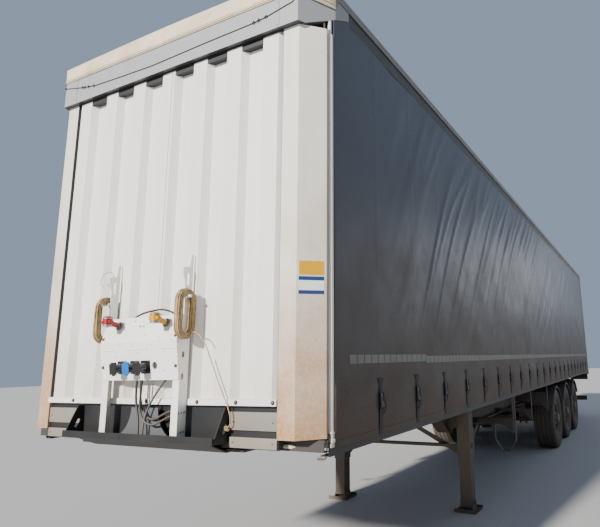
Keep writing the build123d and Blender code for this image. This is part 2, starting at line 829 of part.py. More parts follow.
# Air tanks inside the beams, domed, each strapped to two brackets on the web
tank_radius = 140.0
tank_stand = 14.0
tank_height = 1060.0
tank_start = 5900.0
tank_length = 1000.0
tank_dome = 60.0
tank_bracket = 60.0
with BuildPart() as air_tanks:
    for name, side in sides:
        x = side * (web_inner - tank_stand - tank_radius)
        front = along(tank_start)
        back = along(tank_start + tank_length)
        with BuildSketch(Plane(origin=(x, 0, tank_height), x_dir=(1, 0, 0), z_dir=(0, 0, 1))) as half_tank:
            with BuildLine():
                flat = tank_radius * 0.4
                Line((0, front), (flat, front))
                ThreePointArc((flat, front), (tank_radius * 0.84, front + tank_dome * 0.34),
                              (tank_radius, front + tank_dome))
                Line((tank_radius, front + tank_dome), (tank_radius, back - tank_dome))
                ThreePointArc((tank_radius, back - tank_dome),
                              (tank_radius * 0.84, back - tank_dome * 0.34), (flat, back))
                Polyline((flat, back), (0, back), (0, front))
            make_face()
        revolve(half_tank.sketch, axis=Axis((x, 0, tank_height), (0, 1, 0)))
        for place in (tank_start + tank_length / 4, tank_start + tank_length * 3 / 4):
            y = along(place)
            rod((x, y - 20, tank_height), (x, y + 20, tank_height), tank_radius + 4)
            block((x, side * web_inner), (y - tank_bracket / 2, y + tank_bracket / 2),
                  (tank_height - tank_bracket, tank_height + tank_bracket))
keep(air_tanks, "air_tanks")

# Mudguards: one arched shell with turned-down edges over each wheel, on stays
guard_radius = tyre_radius + 50.0
guard_wall = 5.0
guard_width = tyre_width + 30.0
guard_lip = 22.0
guard_stay = 18.0
guard_half_angle = 62.0
with BuildPart() as mudguards:
    for y in axle_places:
        for name, side in sides:
            axis = Axis((side * wheel_x, y, wheel_z), (1, 0, 0))
            half = guard_width / 2
            profile = [(-half, guard_radius), (half, guard_radius), (half, guard_radius - guard_lip),
                       (half - guard_wall, guard_radius - guard_lip),
                       (half - guard_wall, guard_radius - guard_wall),
                       (-half + guard_wall, guard_radius - guard_wall),
                       (-half + guard_wall, guard_radius - guard_lip), (-half, guard_radius - guard_lip)]
            lean = radians(-guard_half_angle)
            start = Plane(origin=(side * wheel_x, y, wheel_z), x_dir=(1, 0, 0),
                          z_dir=(0, -cos(lean), -sin(lean)))
            revolve(outline(start, profile), axis=axis, revolution_arc=2 * guard_half_angle)
            stay_z = wheel_z + guard_radius + guard_stay / 2
            rod((side * web_outer, y, stay_z), (side * (wheel_x + half), y, stay_z), guard_stay)
keep(mudguards, "mudguards")

# Side brackets under the raves, and a spare wheel's hoop behind the first left one.
# Each bracket's distance behind the wall, its top, and its inner and outer drops.
bracket_places = [
    (4500.0, 920.0, 80.0, 180.0),
    (5700.0, 930.0, 50.0, 170.0),
    (7100.0, 1080.0, 170.0, 310.0),
]
bracket_wall = 8.0
bracket_reach = 1205.0
hoop_outer = 1217.0
hoop_inner = 930.0
hoop_bottom = 500.0
hoop_bend = 90.0
hoop_wall = 12.0
with BuildPart() as side_brackets:
    for distance, top, inner_depth, outer_depth in bracket_places:
        y = along(distance)
        for name, side in sides:
            foot = max(top - inner_depth, beam_bottom + beam_flange)
            plate = [
                (web_outer, top),
                (bracket_reach, top),
                (bracket_reach, top - outer_depth),
                (bracket_reach - 30, top - outer_depth),
                (bracket_reach - 125, top - inner_depth - 10),
                (bracket_reach - 185, top - inner_depth),
                (flange_outer, top - inner_depth),
                (flange_outer, foot + seam),
                (web_outer, foot + seam),
            ]
            points = [(-side * x, z) for x, z in plate]
            prism(cross_plane(y), points, bracket_wall)
            block((side * web_outer, side * bracket_reach), (y, y + 45), (top - bracket_wall, top))
            block((side * (bracket_reach - bracket_wall), side * bracket_reach), (y, y + 45),
                  (top - outer_depth, rave_bottom))
    distance, top, inner_depth, outer_depth = bracket_places[0]
    y = along(distance) + bracket_wall + 45
    high = top - inner_depth - 2
    outer = [(-hoop_outer, rave_bottom), (-hoop_outer, hoop_bottom + hoop_bend * 1.6),
             (-hoop_outer + hoop_bend, hoop_bottom), (-hoop_inner - hoop_bend, hoop_bottom),
             (-hoop_inner, hoop_bottom + hoop_bend * 1.6), (-hoop_inner, high)]
    inner = [(-hoop_inner - hoop_wall, high), (-hoop_inner - hoop_wall, hoop_bottom + hoop_bend * 1.6),
             (-hoop_inner - hoop_bend - 6, hoop_bottom + hoop_wall),
             (-hoop_outer + hoop_bend + 6, hoop_bottom + hoop_wall),
             (-hoop_outer + hoop_wall, hoop_bottom + hoop_bend * 1.6),
             (-hoop_outer + hoop_wall, rave_bottom)]
    prism(cross_plane(y), outer + inner, 50)
    block((hoop_inner, web_outer), (y, y + 50), (high - 12, high))
keep(side_brackets, "side_brackets")

# Rear frame: two posts
post_inner_x = half_width - rear_post_width
with BuildPart() as rear_posts:
    for name, side in sides:
        block((side * post_inner_x, side * half_width), (frame_end, rear_face),
              (rear_sill_top, rail_top))
keep(rear_posts, "rear_posts")

# Rear frame: a header between the posts, the deep sill under them, and two buffers
buffer_x = 1000.0
buffer_width = 120.0
buffer_height = 160.0
with BuildPart() as rear_beams:
    block((-post_inner_x, post_inner_x), (frame_end, rear_face), (rear_header_bottom, rail_top))
    block((-half_width, half_width), (frame_end, rear_face), (rear_sill_bottom, rear_sill_top))
    for name, side in sides:
        x = side * buffer_x
        low = rear_sill_bottom + 10.0
        shape = [(rear_face, low), (rear_face + buffer_reach, low + 25),
                 (rear_face + buffer_reach, low + buffer_height - 25),
                 (rear_face, low + buffer_height)]
        prism(side_plane(x), shape, buffer_width / 2, both=True)
keep(rear_beams, "rear_beams")

# Underrun bumper on two arms
bumper_bottom = 430.0
bumper_top = 550.0
bumper_half = half_width - 95.0
bumper_front = rear_face - 310.0
bumper_back = rear_face - 210.0
arm_half = 40.0
tail_slope = (tail_bottom - beam_bottom) / (frame_end - along(tail_start))
with BuildPart() as rear_bumper:
    with BuildSketch(side_plane(-bumper_half)) as bar:
        with Locations(((bumper_front + bumper_back) / 2, (bumper_bottom + bumper_top) / 2)):
            RectangleRounded(bumper_back - bumper_front, bumper_top - bumper_bottom, 22)
            RectangleRounded(bumper_back - bumper_front - 12, bumper_top - bumper_bottom - 12, 16,
                             mode=Mode.SUBTRACT)
    extrude(bar.sketch, amount=2 * bumper_half)
    for name, side in sides:
        arm = [
            (bumper_front, bumper_top),
            (bumper_back, bumper_top),
            (bumper_back, tail_bottom - (frame_end - bumper_back) * tail_slope),
            (bumper_front, tail_bottom - (frame_end - bumper_front) * tail_slope),
        ]
        prism(side_plane(side * beam_x), arm, arm_half, both=True)
keep(rear_bumper, "rear_bumper")

# Tail lamps under the rear sill
lamp_inner = 760.0
lamp_outer = half_width - 45.0
lamp_height = 150.0
lamp_depth = 80.0
with BuildPart() as rear_lamps:
    for name, side in sides:
        block((side * lamp_inner, side * lamp_outer), (rear_face - lamp_depth, rear_face),
              (rear_sill_bottom - lamp_height, rear_sill_bottom))
keep(rear_lamps, "rear_lamps")

# Hinge brackets with their pins on the rear posts
hinge_y = rear_face + hinge_back
hinge_low = door_bottom + hinge_end_gap
hinge_pitch = (door_top - door_bottom - 2 * hinge_end_gap) / (hinge_count - 1)
hinge_heights = [hinge_low + n * hinge_pitch for n in range(hinge_count)]
knuckle_gap = 1.0
lug_height = 30.0
lug_half = 12.0
with BuildPart() as door_hinges:
    for name, side in sides:
        x = side * hinge_x
        for z in hinge_heights:
            for low in (z - hinge_height / 2 - knuckle_gap - lug_height,
                        z + hinge_height / 2 + knuckle_gap):
                block((x - lug_half, x + lug_half), (rear_face, hinge_y), (low, low + lug_height))
                rod((x, hinge_y, low), (x, hinge_y, low + lug_height), hinge_barrel_radius)
            reach = hinge_height / 2 + lug_height - 5
            rod((x, hinge_y, z - reach), (x, hinge_y, z + reach), hinge_pin_radius)
keep(door_hinges, "door_hinges")

# Rear doors: a planked leaf with straps that turn on the pins
leaf_front = rear_face + door_gap
leaf_back = leaf_front + door_wall
leaf_edge = hinge_x - door_lap
plank_width = 205.0
plank_groove = 8.0
groove_depth = 4.0
for name, side in sides:
    with BuildPart() as door:
        block((side * meeting_gap / 2, side * leaf_edge), (leaf_front, leaf_back),
              (door_bottom, door_top))
        for n in range(1, int(leaf_edge / plank_width) + 1):
            x = side * n * plank_width
            block((x - plank_groove / 2, x + plank_groove / 2),
                  (leaf_back - groove_depth, leaf_back + 1), (door_bottom + 60, door_top - 60),
                  mode=Mode.SUBTRACT)
        for z in hinge_heights:
            low = z - hinge_height / 2
            high = z + hinge_height / 2
            block((side * (hinge_x - strap_length), side * hinge_x),
                  (leaf_back, leaf_back + strap_wall), (low, high))
            block((side * (hinge_x - hinge_barrel_radius), side * hinge_x), (leaf_back, hinge_y),
                  (low, high))
            rod((side * hinge_x, hinge_y, low), (side * hinge_x, hinge_y, high),
                hinge_barrel_radius)
        for z in hinge_heights:
            with Locations((side * hinge_x, hinge_y, z)):
                Cylinder(hinge_pin_radius + running_gap, hinge_height, mode=Mode.SUBTRACT)
    keep(door, f"door_{name}")

# Lock rods on the doors' outer faces, each with guides, end cams and a handle
lock_rod_radius = 13.5
lock_rod_stand = 22.0
lock_rod_x = [330.0, 900.0]
lock_overrun = 20.0
guide_half = 30.0
handle_height = door_bottom + 330.0
handle_length = 250.0
for name, side in sides:
    with BuildPart() as lock_rods:
        y = leaf_back + lock_rod_stand
        for x, toward in zip(lock_rod_x, (1, -1)):
            rod((side * x, y, door_bottom - lock_overrun), (side * x, y, door_top + lock_overrun),
                lock_rod_radius)
            guides = (door_bottom + 60, (door_bottom + door_top) / 2, door_top - 60)
            for z in guides + (handle_height - 70, handle_height + 70):
                block((side * x - guide_half, side * x + guide_half), (leaf_back, y),
                      (z - 20, z + 20))
            for z in (door_bottom - lock_overrun, door_top + lock_overrun - 24):
                block((side * x - 26, side * x + 26), (y - 16, y + 8), (z, z + 24))
            free = x + toward * handle_length
            block((side * x, side * free), (y + 2, y + 11), (handle_height - 15, handle_height + 15))
            block((side * (free - toward * 30), side * free), (leaf_back, y + 11),
                  (handle_height - 19, handle_height + 19))
    keep(lock_rods, f"lock_rods_{name}")

# Connection console: two upright channels with hooks, and a folded panel between them
plate_top = plate_height + panel_wall
panel_line = [(-panel_reach + panel_lean_bottom, panel_bottom), (-panel_reach, panel_ridge),
              (-panel_reach + panel_lean_top, panel_top)]
post_line = [(y + panel_wall, z) for y, z in panel_line]
console_back = -ledge_reach
peg_height = 2118.0
peg_from_wall = -75.0
peg_radius = 9.0
peg_reach = 62.0
with BuildPart() as console_posts:
    for name, side in sides:
        web = [(console_back, plate_top), (console_back, finger_top),
               (console_back - 15, finger_top - 4), (console_back - 24, console_top + 8),
               (-86, console_top), (-86, console_top - 40), (-68, console_top - 90)]
        web += list(reversed(post_line)) + [(post_line[0][0], plate_top)]
        points = [(along(y), z) for y, z in web]
        prism(side_plane(side * panel_half), points, -side * console_wall)
        block((side * (panel_half - console_flange), side * panel_half),
              (along(post_line[0][0]), along(post_line[0][0] + console_wall)),
              (plate_top, panel_bottom))
        for y, low, high in ((-45, 2190, 2270), (-55, 1752, 1790), (-55, 1622, 1660)):
            with BuildSketch(side_plane(side * panel_half)) as slot:
                with Locations((along(y), (low + high) / 2)):
                    SlotOverall(high - low, 18, rotation=90)
            extrude(slot.sketch, amount=-side * 2 * console_wall, mode=Mode.SUBTRACT)
        rod((side * panel_half, along(peg_from_wall), peg_height),
            (side * (panel_half + peg_reach), along(peg_from_wall), peg_height), peg_radius)
keep(console_posts, "console_posts")

with BuildPart() as console_panel:
    section = [(along(y), z) for y, z in panel_line + list(reversed(post_line))]
    prism(side_plane(0), section, panel_half, both=True)
    with Locations(Plane(origin=(150, along(-panel_reach), 1711), z_dir=(0, -1, 0))):
        Cylinder(22.0, 100.0, mode=Mode.SUBTRACT)
keep(console_panel, "console_panel")

# Rope hanks hung on the pegs beside the console
hank_height = 316.0
hank_width = 146.0
hank_rope = 44.0
for name, side in sides:
    with BuildPart() as rope_hank:
        start = side * (panel_half + seam)
        centre_z = peg_height + peg_radius + seam - hank_height / 2 + hank_rope
        with BuildSketch(side_plane(start)) as ring:
            with Locations((along(peg_from_wall), centre_z)):
                SlotOverall(hank_height, hank_width, rotation=90)
                SlotOverall(hank_height - 2 * hank_rope, hank_width - 2 * hank_rope, rotation=90,
                            mode=Mode.SUBTRACT)
        extrude(ring.sketch, amount=side * hank_rope)
        fillet(edges().filter_by(Plane.YZ), hank_rope * 0.3)
    keep(rope_hank, f"rope_hank_{name}")

# Rope from the left hank down to the ear of the front plate
cord("rope_tail", [
    (389.6, -40, 1905),
    (450, -40, 1893),
    (512, -37, 1815),
    (553, -34, 1722),
    (598, -31, 1633),
    (644, -27, 1541),
    (690, -22, 1452),
    (703, -19, 1392),
    (694, -18, 1358),
    (660.3, -18, 1350),
], 7.0)

# Air couplings on the panel's upper fold: a round foot, a neck and a capped head
coupling_x = [-205.0, 225.0]
coupling_z = 1965.0
head_radius = 30.0
upper_fold = Vector(0, panel_line[2][0] - panel_line[1][0], panel_line[2][1] - panel_line[1][1])
upper_normal = Vector(0, -upper_fold.Z, upper_fold.Y).normalized()
hose_lead = Vector(cos(radians(30)), 0, sin(radians(30)))
upper_y = panel_line[1][0] + (coupling_z - panel_ridge) * upper_fold.Y / upper_fold.Z
with BuildPart() as air_couplings:
    for x in coupling_x:
        foot = Vector(x, along(upper_y), coupling_z)
        head_y = along(-panel_reach - coupling_reach + head_radius)
        rod(foot, foot + upper_normal * 9, 27.0)
        rod(foot, foot + upper_normal * 82, 15.0)
        rod((x, head_y, coupling_z - 6), (x, head_y, coupling_z + 42), head_radius - 3)
        rod((x, head_y, coupling_z + 42), (x, head_y, coupling_z + 50), head_radius)
        behind = Vector(x, along(upper_y + panel_wall), coupling_z) - upper_normal * seam
        rod(behind, behind - upper_normal * 28, 12.0)
    elbow = Vector(coupling_x[0], behind.Y, behind.Z) - upper_normal * 20
    outlet = elbow + hose_lead * 36
    rod(elbow, outlet, 10.0)
keep(air_couplings, "air_couplings")

# Air hose from the right coupling's elbow, over the panel to the left post
hose_start = outlet + hose_lead * seam
cord("panel_hose", [
    (hose_start.X, hose_start.Y - front_wall_y, hose_start.Z),
    (-118, -55, 2010.3),
    (-40, -53, 2041),
    (50, -50, 2052),
    (135, -50, 2058),
    (222, -50, 2036),
    (285, -50, 2003),
    (339.4, -50, 1998),
], 12.0)

# Electric sockets on the panel's lower fold, each with a hinged lid
socket_x = [-142.0, -25.0, 72.0]
socket_z = 1703.0
socket_radius = 30.0
socket_reach = 58.0
cable_glands = [(-2.0, 0.0), (232.0, -24.0)]
clip_front = -74.2
gland_y = -58.0
gland_z = 1620.0
lower_fold = Vector(0, panel_line[1][0] - panel_line[0][0], panel_line[1][1] - panel_line[0][1])
lower_normal = Vector(0, -lower_fold.Z, lower_fold.Y).normalized()
lower_y = panel_line[0][0] + (socket_z - panel_bottom) * lower_fold.Y / lower_fold.Z
with BuildPart() as sockets:
    for x in socket_x:
        foot = Vector(x, along(lower_y), socket_z)
        rod(foot, foot + lower_normal * 8, socket_radius + 8)
        rod(foot, foot + lower_normal * socket_reach, socket_radius - 3)
        lid = foot + lower_normal * (socket_reach - 14)
        rod(lid, foot + lower_normal * (socket_reach + 5), socket_radius)
    # cable clips behind the panel's lower edge, each with a gland that may lean
    for x, lean in cable_glands:
        block((x - 16, x + 16), (along(clip_front), along(clip_front + 30)), (1632, 1660))
        rod((x, along(gland_y), 1645), (x + lean, along(gland_y), gland_z), 10.0)
keep(sockets, "sockets")

# Cables from the glands: one sweeps across to the left post, one drops to the plate below
cord("cable_across", [
    (-2, -58, 1619.7),
    (-6, -57, 1540),
    (8, -52, 1462),
    (48, -48, 1402),
    (108, -46, 1386),
    (166, -44, 1408),
    (228, -42, 1436),
    (284, -41, 1445),
    (339.4, -40, 1445),
], 13.0)
cord("cable_down", [
    (207.8, -58, 1619.8),
    (156, -57, 1565.9),
    (102, -54, 1506),
    (60, -58, 1434),
    (46, -66, 1354),
    (46, -66, 1276.3),
], 12.0)

# Black plate with slotted ears under the console, and the waisted plate behind the cables
plate_back = 20.0
ear_top = 1460.0
waist_bottom = 250.0
waist_top = 120.0
waist_height = 1455.0
with BuildPart() as front_plate:
    block((-plate_half, plate_half), (front_end, along(plate_back)), (plate_height, plate_top))
    block((-plate_half, plate_half), (front_end, front_end + panel_wall),
          (plate_top, plate_height + plate_lip))
    for name, side in sides:
        ear = [(front_end + panel_wall, plate_top), (along(plate_back), plate_top),
               (along(plate_back), ear_top), (along(-20.0), ear_top)]
        prism(side_plane(side * plate_half), ear, -side * panel_wall)
        with BuildSketch(side_plane(side * plate_half)) as slot:
            with Locations((along(-18.0), plate_top + 70)):
                SlotOverall(60, 20, rotation=65)
        extrude(slot.sketch, amount=-side * 2 * panel_wall, mode=Mode.SUBTRACT)
    with BuildSketch(cross_plane(along(-24.0))) as waisted:
        with BuildLine():
            Polyline((-waist_bottom, plate_top - 1), (waist_bottom, plate_top - 1))
            ThreePointArc((waist_bottom, plate_top - 1), (waist_top + 30, plate_top + 75),
                          (waist_top, waist_height))
            Line((waist_top, waist_height), (-waist_top, waist_height))
            ThreePointArc((-waist_top, waist_height), (-waist_top - 30, plate_top + 75),
                          (-waist_bottom, plate_top - 1))
        make_face()
    extrude(waisted.sketch, amount=panel_wall)
keep(front_plate, "front_plate")

# Wheels: a tyre, and a rim with disc, hub, drum and cap in one turned piece
bead = rim_width / 2 - rim_lip
tyre_half = tyre_width / 2
shoulder = tyre_half - tyre_shoulder / 2
tyre_side = [
    (bead, rim_radius),
    (bead, rim_radius + rim_lip + 3),
    (tyre_half, rim_radius + 122),
    (shoulder, tyre_radius - tyre_shoulder),
    (shoulder - tyre_shoulder, tyre_radius - 5),
]
rim_inner = rim_radius - rim_wall
well_radius = rim_radius - well_depth
disc_face = disc_offset + disc_wall
bore = spindle_radius + running_gap
bore_end = disc_offset + 30.0
hub_start = drum_back_x + 10.0 - wheel_x
drum_start = drum_back_x - wheel_x
drum_inner = drum_radius - drum_wall
disc_root = disc_offset - disc_dish
cap_end_x = disc_offset + hub_cap_reach
rim_profile = [
    (-rim_width / 2, rim_radius + rim_lip),
    (-bead, rim_radius + rim_lip),
    (-bead, rim_radius),
    (-85, rim_radius),
    (-70, well_radius),
    (0, well_radius),
    (25, rim_radius),
    (bead, rim_radius),
    (bead, rim_radius + rim_lip),
    (rim_width / 2, rim_radius + rim_lip),
    (rim_width / 2, rim_inner),
    (disc_root + 16, rim_inner),
    (disc_face + 2, 176),
    (disc_face + 2, hub_cap_radius + 18),
    (disc_face + 10, hub_cap_radius),
    (cap_end_x - 8, hub_cap_radius),
    (cap_end_x, hub_cap_radius - 12),
    (cap_end_x, 0),
    (bore_end, 0),
    (bore_end, bore),
    (hub_start, bore),
    (hub_start, hub_radius - 30),
    (40, hub_radius - 30),
    (40, drum_inner),
    (drum_start, drum_inner),
    (drum_start, drum_radius),
    (65, drum_radius),
    (65, 150),
    (disc_offset, 150),
    (disc_offset, 172),
    (disc_root, rim_inner),
    (29, rim_inner),
    (4, well_radius - rim_wall),
    (-74, well_radius - rim_wall),
    (-89, rim_inner),
    (-rim_width / 2, rim_inner),
]
for number, y in enumerate(axle_places, start=1):
    for name, side in sides:
        centre = side * wheel_x
        axis = Axis((0, y, wheel_z), (1, 0, 0))
        with BuildPart() as tyre:
            with BuildSketch(Plane(origin=(centre, y, wheel_z))) as section:
                with BuildLine():
                    low, clinch, wide, edge, crown = tyre_side
                    Line((-low[0], low[1]), low)
                    for flip in (1, -1):
                        Line((flip * low[0], low[1]), (flip * clinch[0], clinch[1]))
                        ThreePointArc((flip * clinch[0], clinch[1]), (flip * wide[0], wide[1]),
                                      (flip * edge[0], edge[1]))
                        Line((flip * edge[0], edge[1]), (flip * crown[0], crown[1]))
                    ThreePointArc(crown, (0, tyre_radius), (-crown[0], crown[1]))
                make_face()
            revolve(section.sketch, axis=axis)
        keep(tyre, f"tyre_{number}_{name}")

        with BuildPart() as wheel:
            points = [(side * x, radius) for x, radius in rim_profile]
            revolve(outline(Plane(origin=(centre, y, wheel_z)), points), axis=axis)
            face = centre + side * (disc_face + 10)
            with BuildSketch(side_plane(face)) as windows:
                with Locations((y, wheel_z)):
                    with PolarLocations(hand_hole_circle, hand_holes):
                        Circle(hand_hole_radius)
            extrude(windows.sketch, amount=-side * (disc_face + 10 - 68), mode=Mode.SUBTRACT)
        keep(wheel, f"wheel_{number}_{name}")
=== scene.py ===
# %% [markdown]
# # A curtain-sided semi trailer, finished in Blender
# The trailer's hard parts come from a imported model, the frame. This script gives every
# part a procedural finish, and adds what thin sheet, rope and cloth need: curtains with
# wrinkles, a roof tarpaulin, webbing straps, rope hanks, cables, bolts and tyre tread.
# Lengths are in metres. +Z is up, the front faces -Y and the trailer's own left is +X.

# %% Load the frame
import json
import math
import random

import bmesh
import bpy
import numpy as np
from mathutils import Matrix, Vector, noise


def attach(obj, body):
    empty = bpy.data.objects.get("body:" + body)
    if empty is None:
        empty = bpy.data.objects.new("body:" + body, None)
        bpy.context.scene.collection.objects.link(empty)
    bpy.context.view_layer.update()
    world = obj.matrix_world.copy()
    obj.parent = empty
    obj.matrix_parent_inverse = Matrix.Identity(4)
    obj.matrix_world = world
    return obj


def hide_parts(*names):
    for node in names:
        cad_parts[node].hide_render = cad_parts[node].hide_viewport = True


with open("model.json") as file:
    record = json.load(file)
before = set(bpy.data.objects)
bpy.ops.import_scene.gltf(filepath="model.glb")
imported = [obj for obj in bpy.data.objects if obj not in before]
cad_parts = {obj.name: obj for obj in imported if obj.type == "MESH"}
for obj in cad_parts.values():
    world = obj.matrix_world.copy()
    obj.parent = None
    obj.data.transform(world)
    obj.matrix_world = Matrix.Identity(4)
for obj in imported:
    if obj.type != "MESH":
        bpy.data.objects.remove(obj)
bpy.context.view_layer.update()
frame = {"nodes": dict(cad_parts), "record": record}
FRONT_WALL = -6.88
SIDES = (("left", 1), ("right", -1))


def at(x, distance, z):
    """A point given by its distance behind the front wall, as in the part's source."""
    return Vector((x, FRONT_WALL + distance, z))


def add_object(name, data):
    made = bpy.data.objects.new(name, data)
    bpy.context.scene.collection.objects.link(made)
    return made


# %% [markdown]
# ## The camera
# The photo was taken near the ground, close to the front left corner. The place, turn and
# lens were fitted to corners of the trailer whose real places are known, so the same camera
# here lays every edge over the photo's. The picture was cut out of a wider one, which is
# why its centre lies off the lens axis: that is the shift.

# %% Camera
CAMERA_PLACE = at(2.845, -2.263, 1.704)
YAW, PITCH, ROLL = (math.radians(angle) for angle in (25.34, 10.81, -1.57))
camera_data = bpy.data.cameras.new("camera")
camera = add_object("camera", camera_data)
bpy.context.scene.camera = camera
forward = Vector((-math.sin(YAW) * math.cos(PITCH), math.cos(YAW) * math.cos(PITCH),
                  math.sin(PITCH)))
level = forward.cross(Vector((0, 0, 1))).normalized()
upright = level.cross(forward)
rightward = level * math.cos(ROLL) + upright * math.sin(ROLL)
upward = upright * math.cos(ROLL) - level * math.sin(ROLL)
turn = Matrix((rightward, upward, -forward)).transposed().to_4x4()
camera.matrix_world = Matrix.Translation(CAMERA_PLACE) @ turn
camera_data.sensor_width = 36
camera_data.lens = 30.26
camera_data.shift_x = -0.1667
camera_data.clip_start, camera_data.clip_end = 0.05, 200
print("camera at", tuple(round(v, 3) for v in camera.location))

# %% [markdown]
# ## Light and floor
# The photo has a low sun almost straight onto the front, a little from the trailer's right,
# so the headboard throws a short shadow and the near side stays in the shade, lit by the
# sky. A soft sun and an even pale world give the same split on a plain studio floor. One
# wide panel far behind on the left stands in for the bright sky that shines in the folds.

# %% Light and floor
SUN_WAY = Vector((0.16, 1.0, -0.46))
PANEL_PLACE, PANEL_TARGET = Vector((10, 15, 5.5)), Vector((1.27, 1.0, 2.6))


def add_light(name, kind, energy, way):
    """A lamp that shines along a way."""
    lamp = add_object(name, bpy.data.lights.new(name, kind))
    lamp.data.energy = energy
    lamp.rotation_mode = "QUATERNION"
    lamp.rotation_quaternion = way.to_track_quat("-Z", "Y")
    return lamp


sun = add_light("sun", "SUN", 8.2, SUN_WAY)
sun.data.angle = math.radians(4)
sun.data.color = (1.0, 0.96, 0.9)
panel = add_light("soft_panel", "AREA", 230, PANEL_TARGET - PANEL_PLACE)
panel.data.shape = "RECTANGLE"
panel.data.size, panel.data.size_y = 9, 4
panel.location = PANEL_PLACE
panel.visible_camera = False

world = bpy.data.worlds.new("studio")
bpy.context.scene.world = world
world.use_nodes = True
sky = world.node_tree.nodes["Background"]
sky.inputs["Color"].default_value = (0.6, 0.75, 1.0, 1)
sky.inputs["Strength"].default_value = 0.46

stage_mesh = bmesh.new()
bmesh.ops.create_circle(stage_mesh, cap_ends=True, segments=64, radius=60)
floor_data = bpy.data.meshes.new("studio_floor")
stage_mesh.to_mesh(floor_data)
stage_mesh.free()
floor = add_object("studio_floor", floor_data)
print("sun and floor set")

# %% [markdown]
# ## Building shapes
# Small fittings are collected in one mesh for each kind, so a hundred bolts are a single
# piece. The collector below knows the few solids that such fittings are made of: a box with
# bevelled edges, a bar, a bolt head on its washer, and a tube or a strip along a line.

# %% Helpers for shapes
def turned_to(axis):
    """A rotation that brings +Z onto an axis."""
    return Vector(axis).normalized().to_track_quat("Z", "Y").to_matrix().to_4x4()


def turns(count, start=0.0):
    """Angles spread evenly round a circle."""
    return [2 * math.pi * (n + start) / count for n in range(count)]


def neighbours(points, closed=False):
    """Each point with the ones before and after it; an open line repeats its ends."""
    points = [Vector(point) for point in points]
    first, last = (points[-1], points[0]) if closed else (points[0], points[-1])
    return zip([first] + points[:-1], points, points[1:] + [last])


def bridge(mesh, rows, ring=False):
    """Faces between rows of corners; a ring also joins its last corner to its first."""
    for one, two in zip(rows, rows[1:]):
        for n in range(0 if ring else 1, len(one)):
            mesh.faces.new((one[n - 1], one[n], two[n], two[n - 1]))


def mesh_data(name, mesh):
    """Mesh data of a bmesh, with its faces turned outwards."""
    bmesh.ops.recalc_face_normals(mesh, faces=mesh.faces)
    data = bpy.data.meshes.new(name)
    mesh.to_mesh(data)
    mesh.free()
    return data


def finished(data, material, angle=40.0):
    """The mesh with its finish, smooth but for edges sharper than an angle."""
    data.polygons.foreach_set("use_smooth", [True] * len(data.polygons))
    data.set_sharp_from_angle(angle=math.radians(angle))
    data.materials.append(finishes[material])
    return data


def add_piece(name, data, body="trailer", place=(0, 0, 0)):
    """A visible piece that rides on a body."""
    piece = add_object(name, data)
    piece.location = place
    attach(piece, body)
    return piece


# %% Shape collector
class Shapes:
    def __init__(self):
        self.mesh = bmesh.new()

    def box(self, low, high, bevel=0.0, placed=Matrix()):
        low, high = Vector(low), Vector(high)
        size = Matrix.Diagonal((*map(abs, high - low), 1))
        matrix = placed @ Matrix.Translation((low + high) / 2) @ size
        made = bmesh.ops.create_cube(self.mesh, size=1, matrix=matrix)["verts"]
        if bevel:
            edges = {edge for vert in made for edge in vert.link_edges}
            bmesh.ops.bevel(self.mesh, geom=list(edges), offset=bevel, segments=2,
                            affect="EDGES", profile=0.6)

    def bar(self, start, end, radius, end_radius=None, sides=16):
        start, end = Vector(start), Vector(end)
        way = end - start
        matrix = Matrix.Translation((start + end) / 2) @ turned_to(way)
        bmesh.ops.create_cone(self.mesh, cap_ends=True, segments=sides, radius1=radius,
                              radius2=radius if end_radius is None else end_radius,
                              depth=way.length, matrix=matrix)

    def bolt(self, place, axis, radius):
        """A washer, a six-sided head and the rounded crown of the head."""
        place, axis = Vector(place), Vector(axis).normalized() * radius
        self.bar(place, place + axis * 0.25, radius * 1.5, sides=18)
        self.bar(place + axis * 0.25, place + axis * 0.95, radius, sides=6)
        self.bar(place + axis * 0.95, place + axis * 1.13, radius * 0.9, radius * 0.6, sides=12)

    def rivet(self, place, axis, radius):
        place, axis = Vector(place), Vector(axis).normalized() * radius
        self.bar(place, place + axis * 0.3, radius, radius * 0.85, sides=10)
        self.bar(place + axis * 0.3, place + axis * 0.6, radius * 0.85, radius * 0.3, sides=10)

    def skin(self, rings, closed=False):
        """A skin over rings of places, joined end to end if closed and capped if not."""
        rings = [[self.mesh.verts.new(place) for place in ring] for ring in rings]
        bridge(self.mesh, rings + rings[:1] if closed else rings, ring=True)
        if not closed:
            self.mesh.faces.new(rings[0][::-1])
            self.mesh.faces.new(rings[-1])

    def tube(self, points, radius, sides=8, closed=False):
        """A round tube along points, each ring set square to the line there."""
        rings, side = [], None
        for before, point, after in neighbours(points, closed):
            way = (after - before).normalized()
            side = side or way.orthogonal().normalized()
            side = (side - way * side.dot(way)).normalized()
            other = way.cross(side)
            rings.append([point + (side * math.cos(turn) + other * math.sin(turn)) * radius
                          for turn in turns(sides)])
        self.skin(rings, closed)

    def strip(self, points, across, thick, normal):
        """A flat band along points: across is its half width, given as a vector."""
        across, rings = Vector(across), []
        for before, point, after in neighbours(points):
            out = (after - before).normalized().cross(across).normalized() * thick / 2
            out = -out if out.dot(Vector(normal)) < 0 else out
            rings.append([point + offset for offset in
                          (across + out, -across + out, -across - out, across - out)])
        self.skin(rings)

    def make(self, name, material, slot, body="trailer", angle=40.0):
        """The finished piece, riding on a body."""
        return add_piece(name, finished(mesh_data(name, self.mesh), material, angle), body)


# %% [markdown]
# ## Shared effects
# Years outdoors leave the same marks on every part: road dust that thickens towards the
# ground and lies on what faces up, streaks where rain ran down, paint worn thin on edges.
# Each mark is one node group with named sockets. A group gives out a mask, a height or a
# colour, and the material feeds that to its shader.

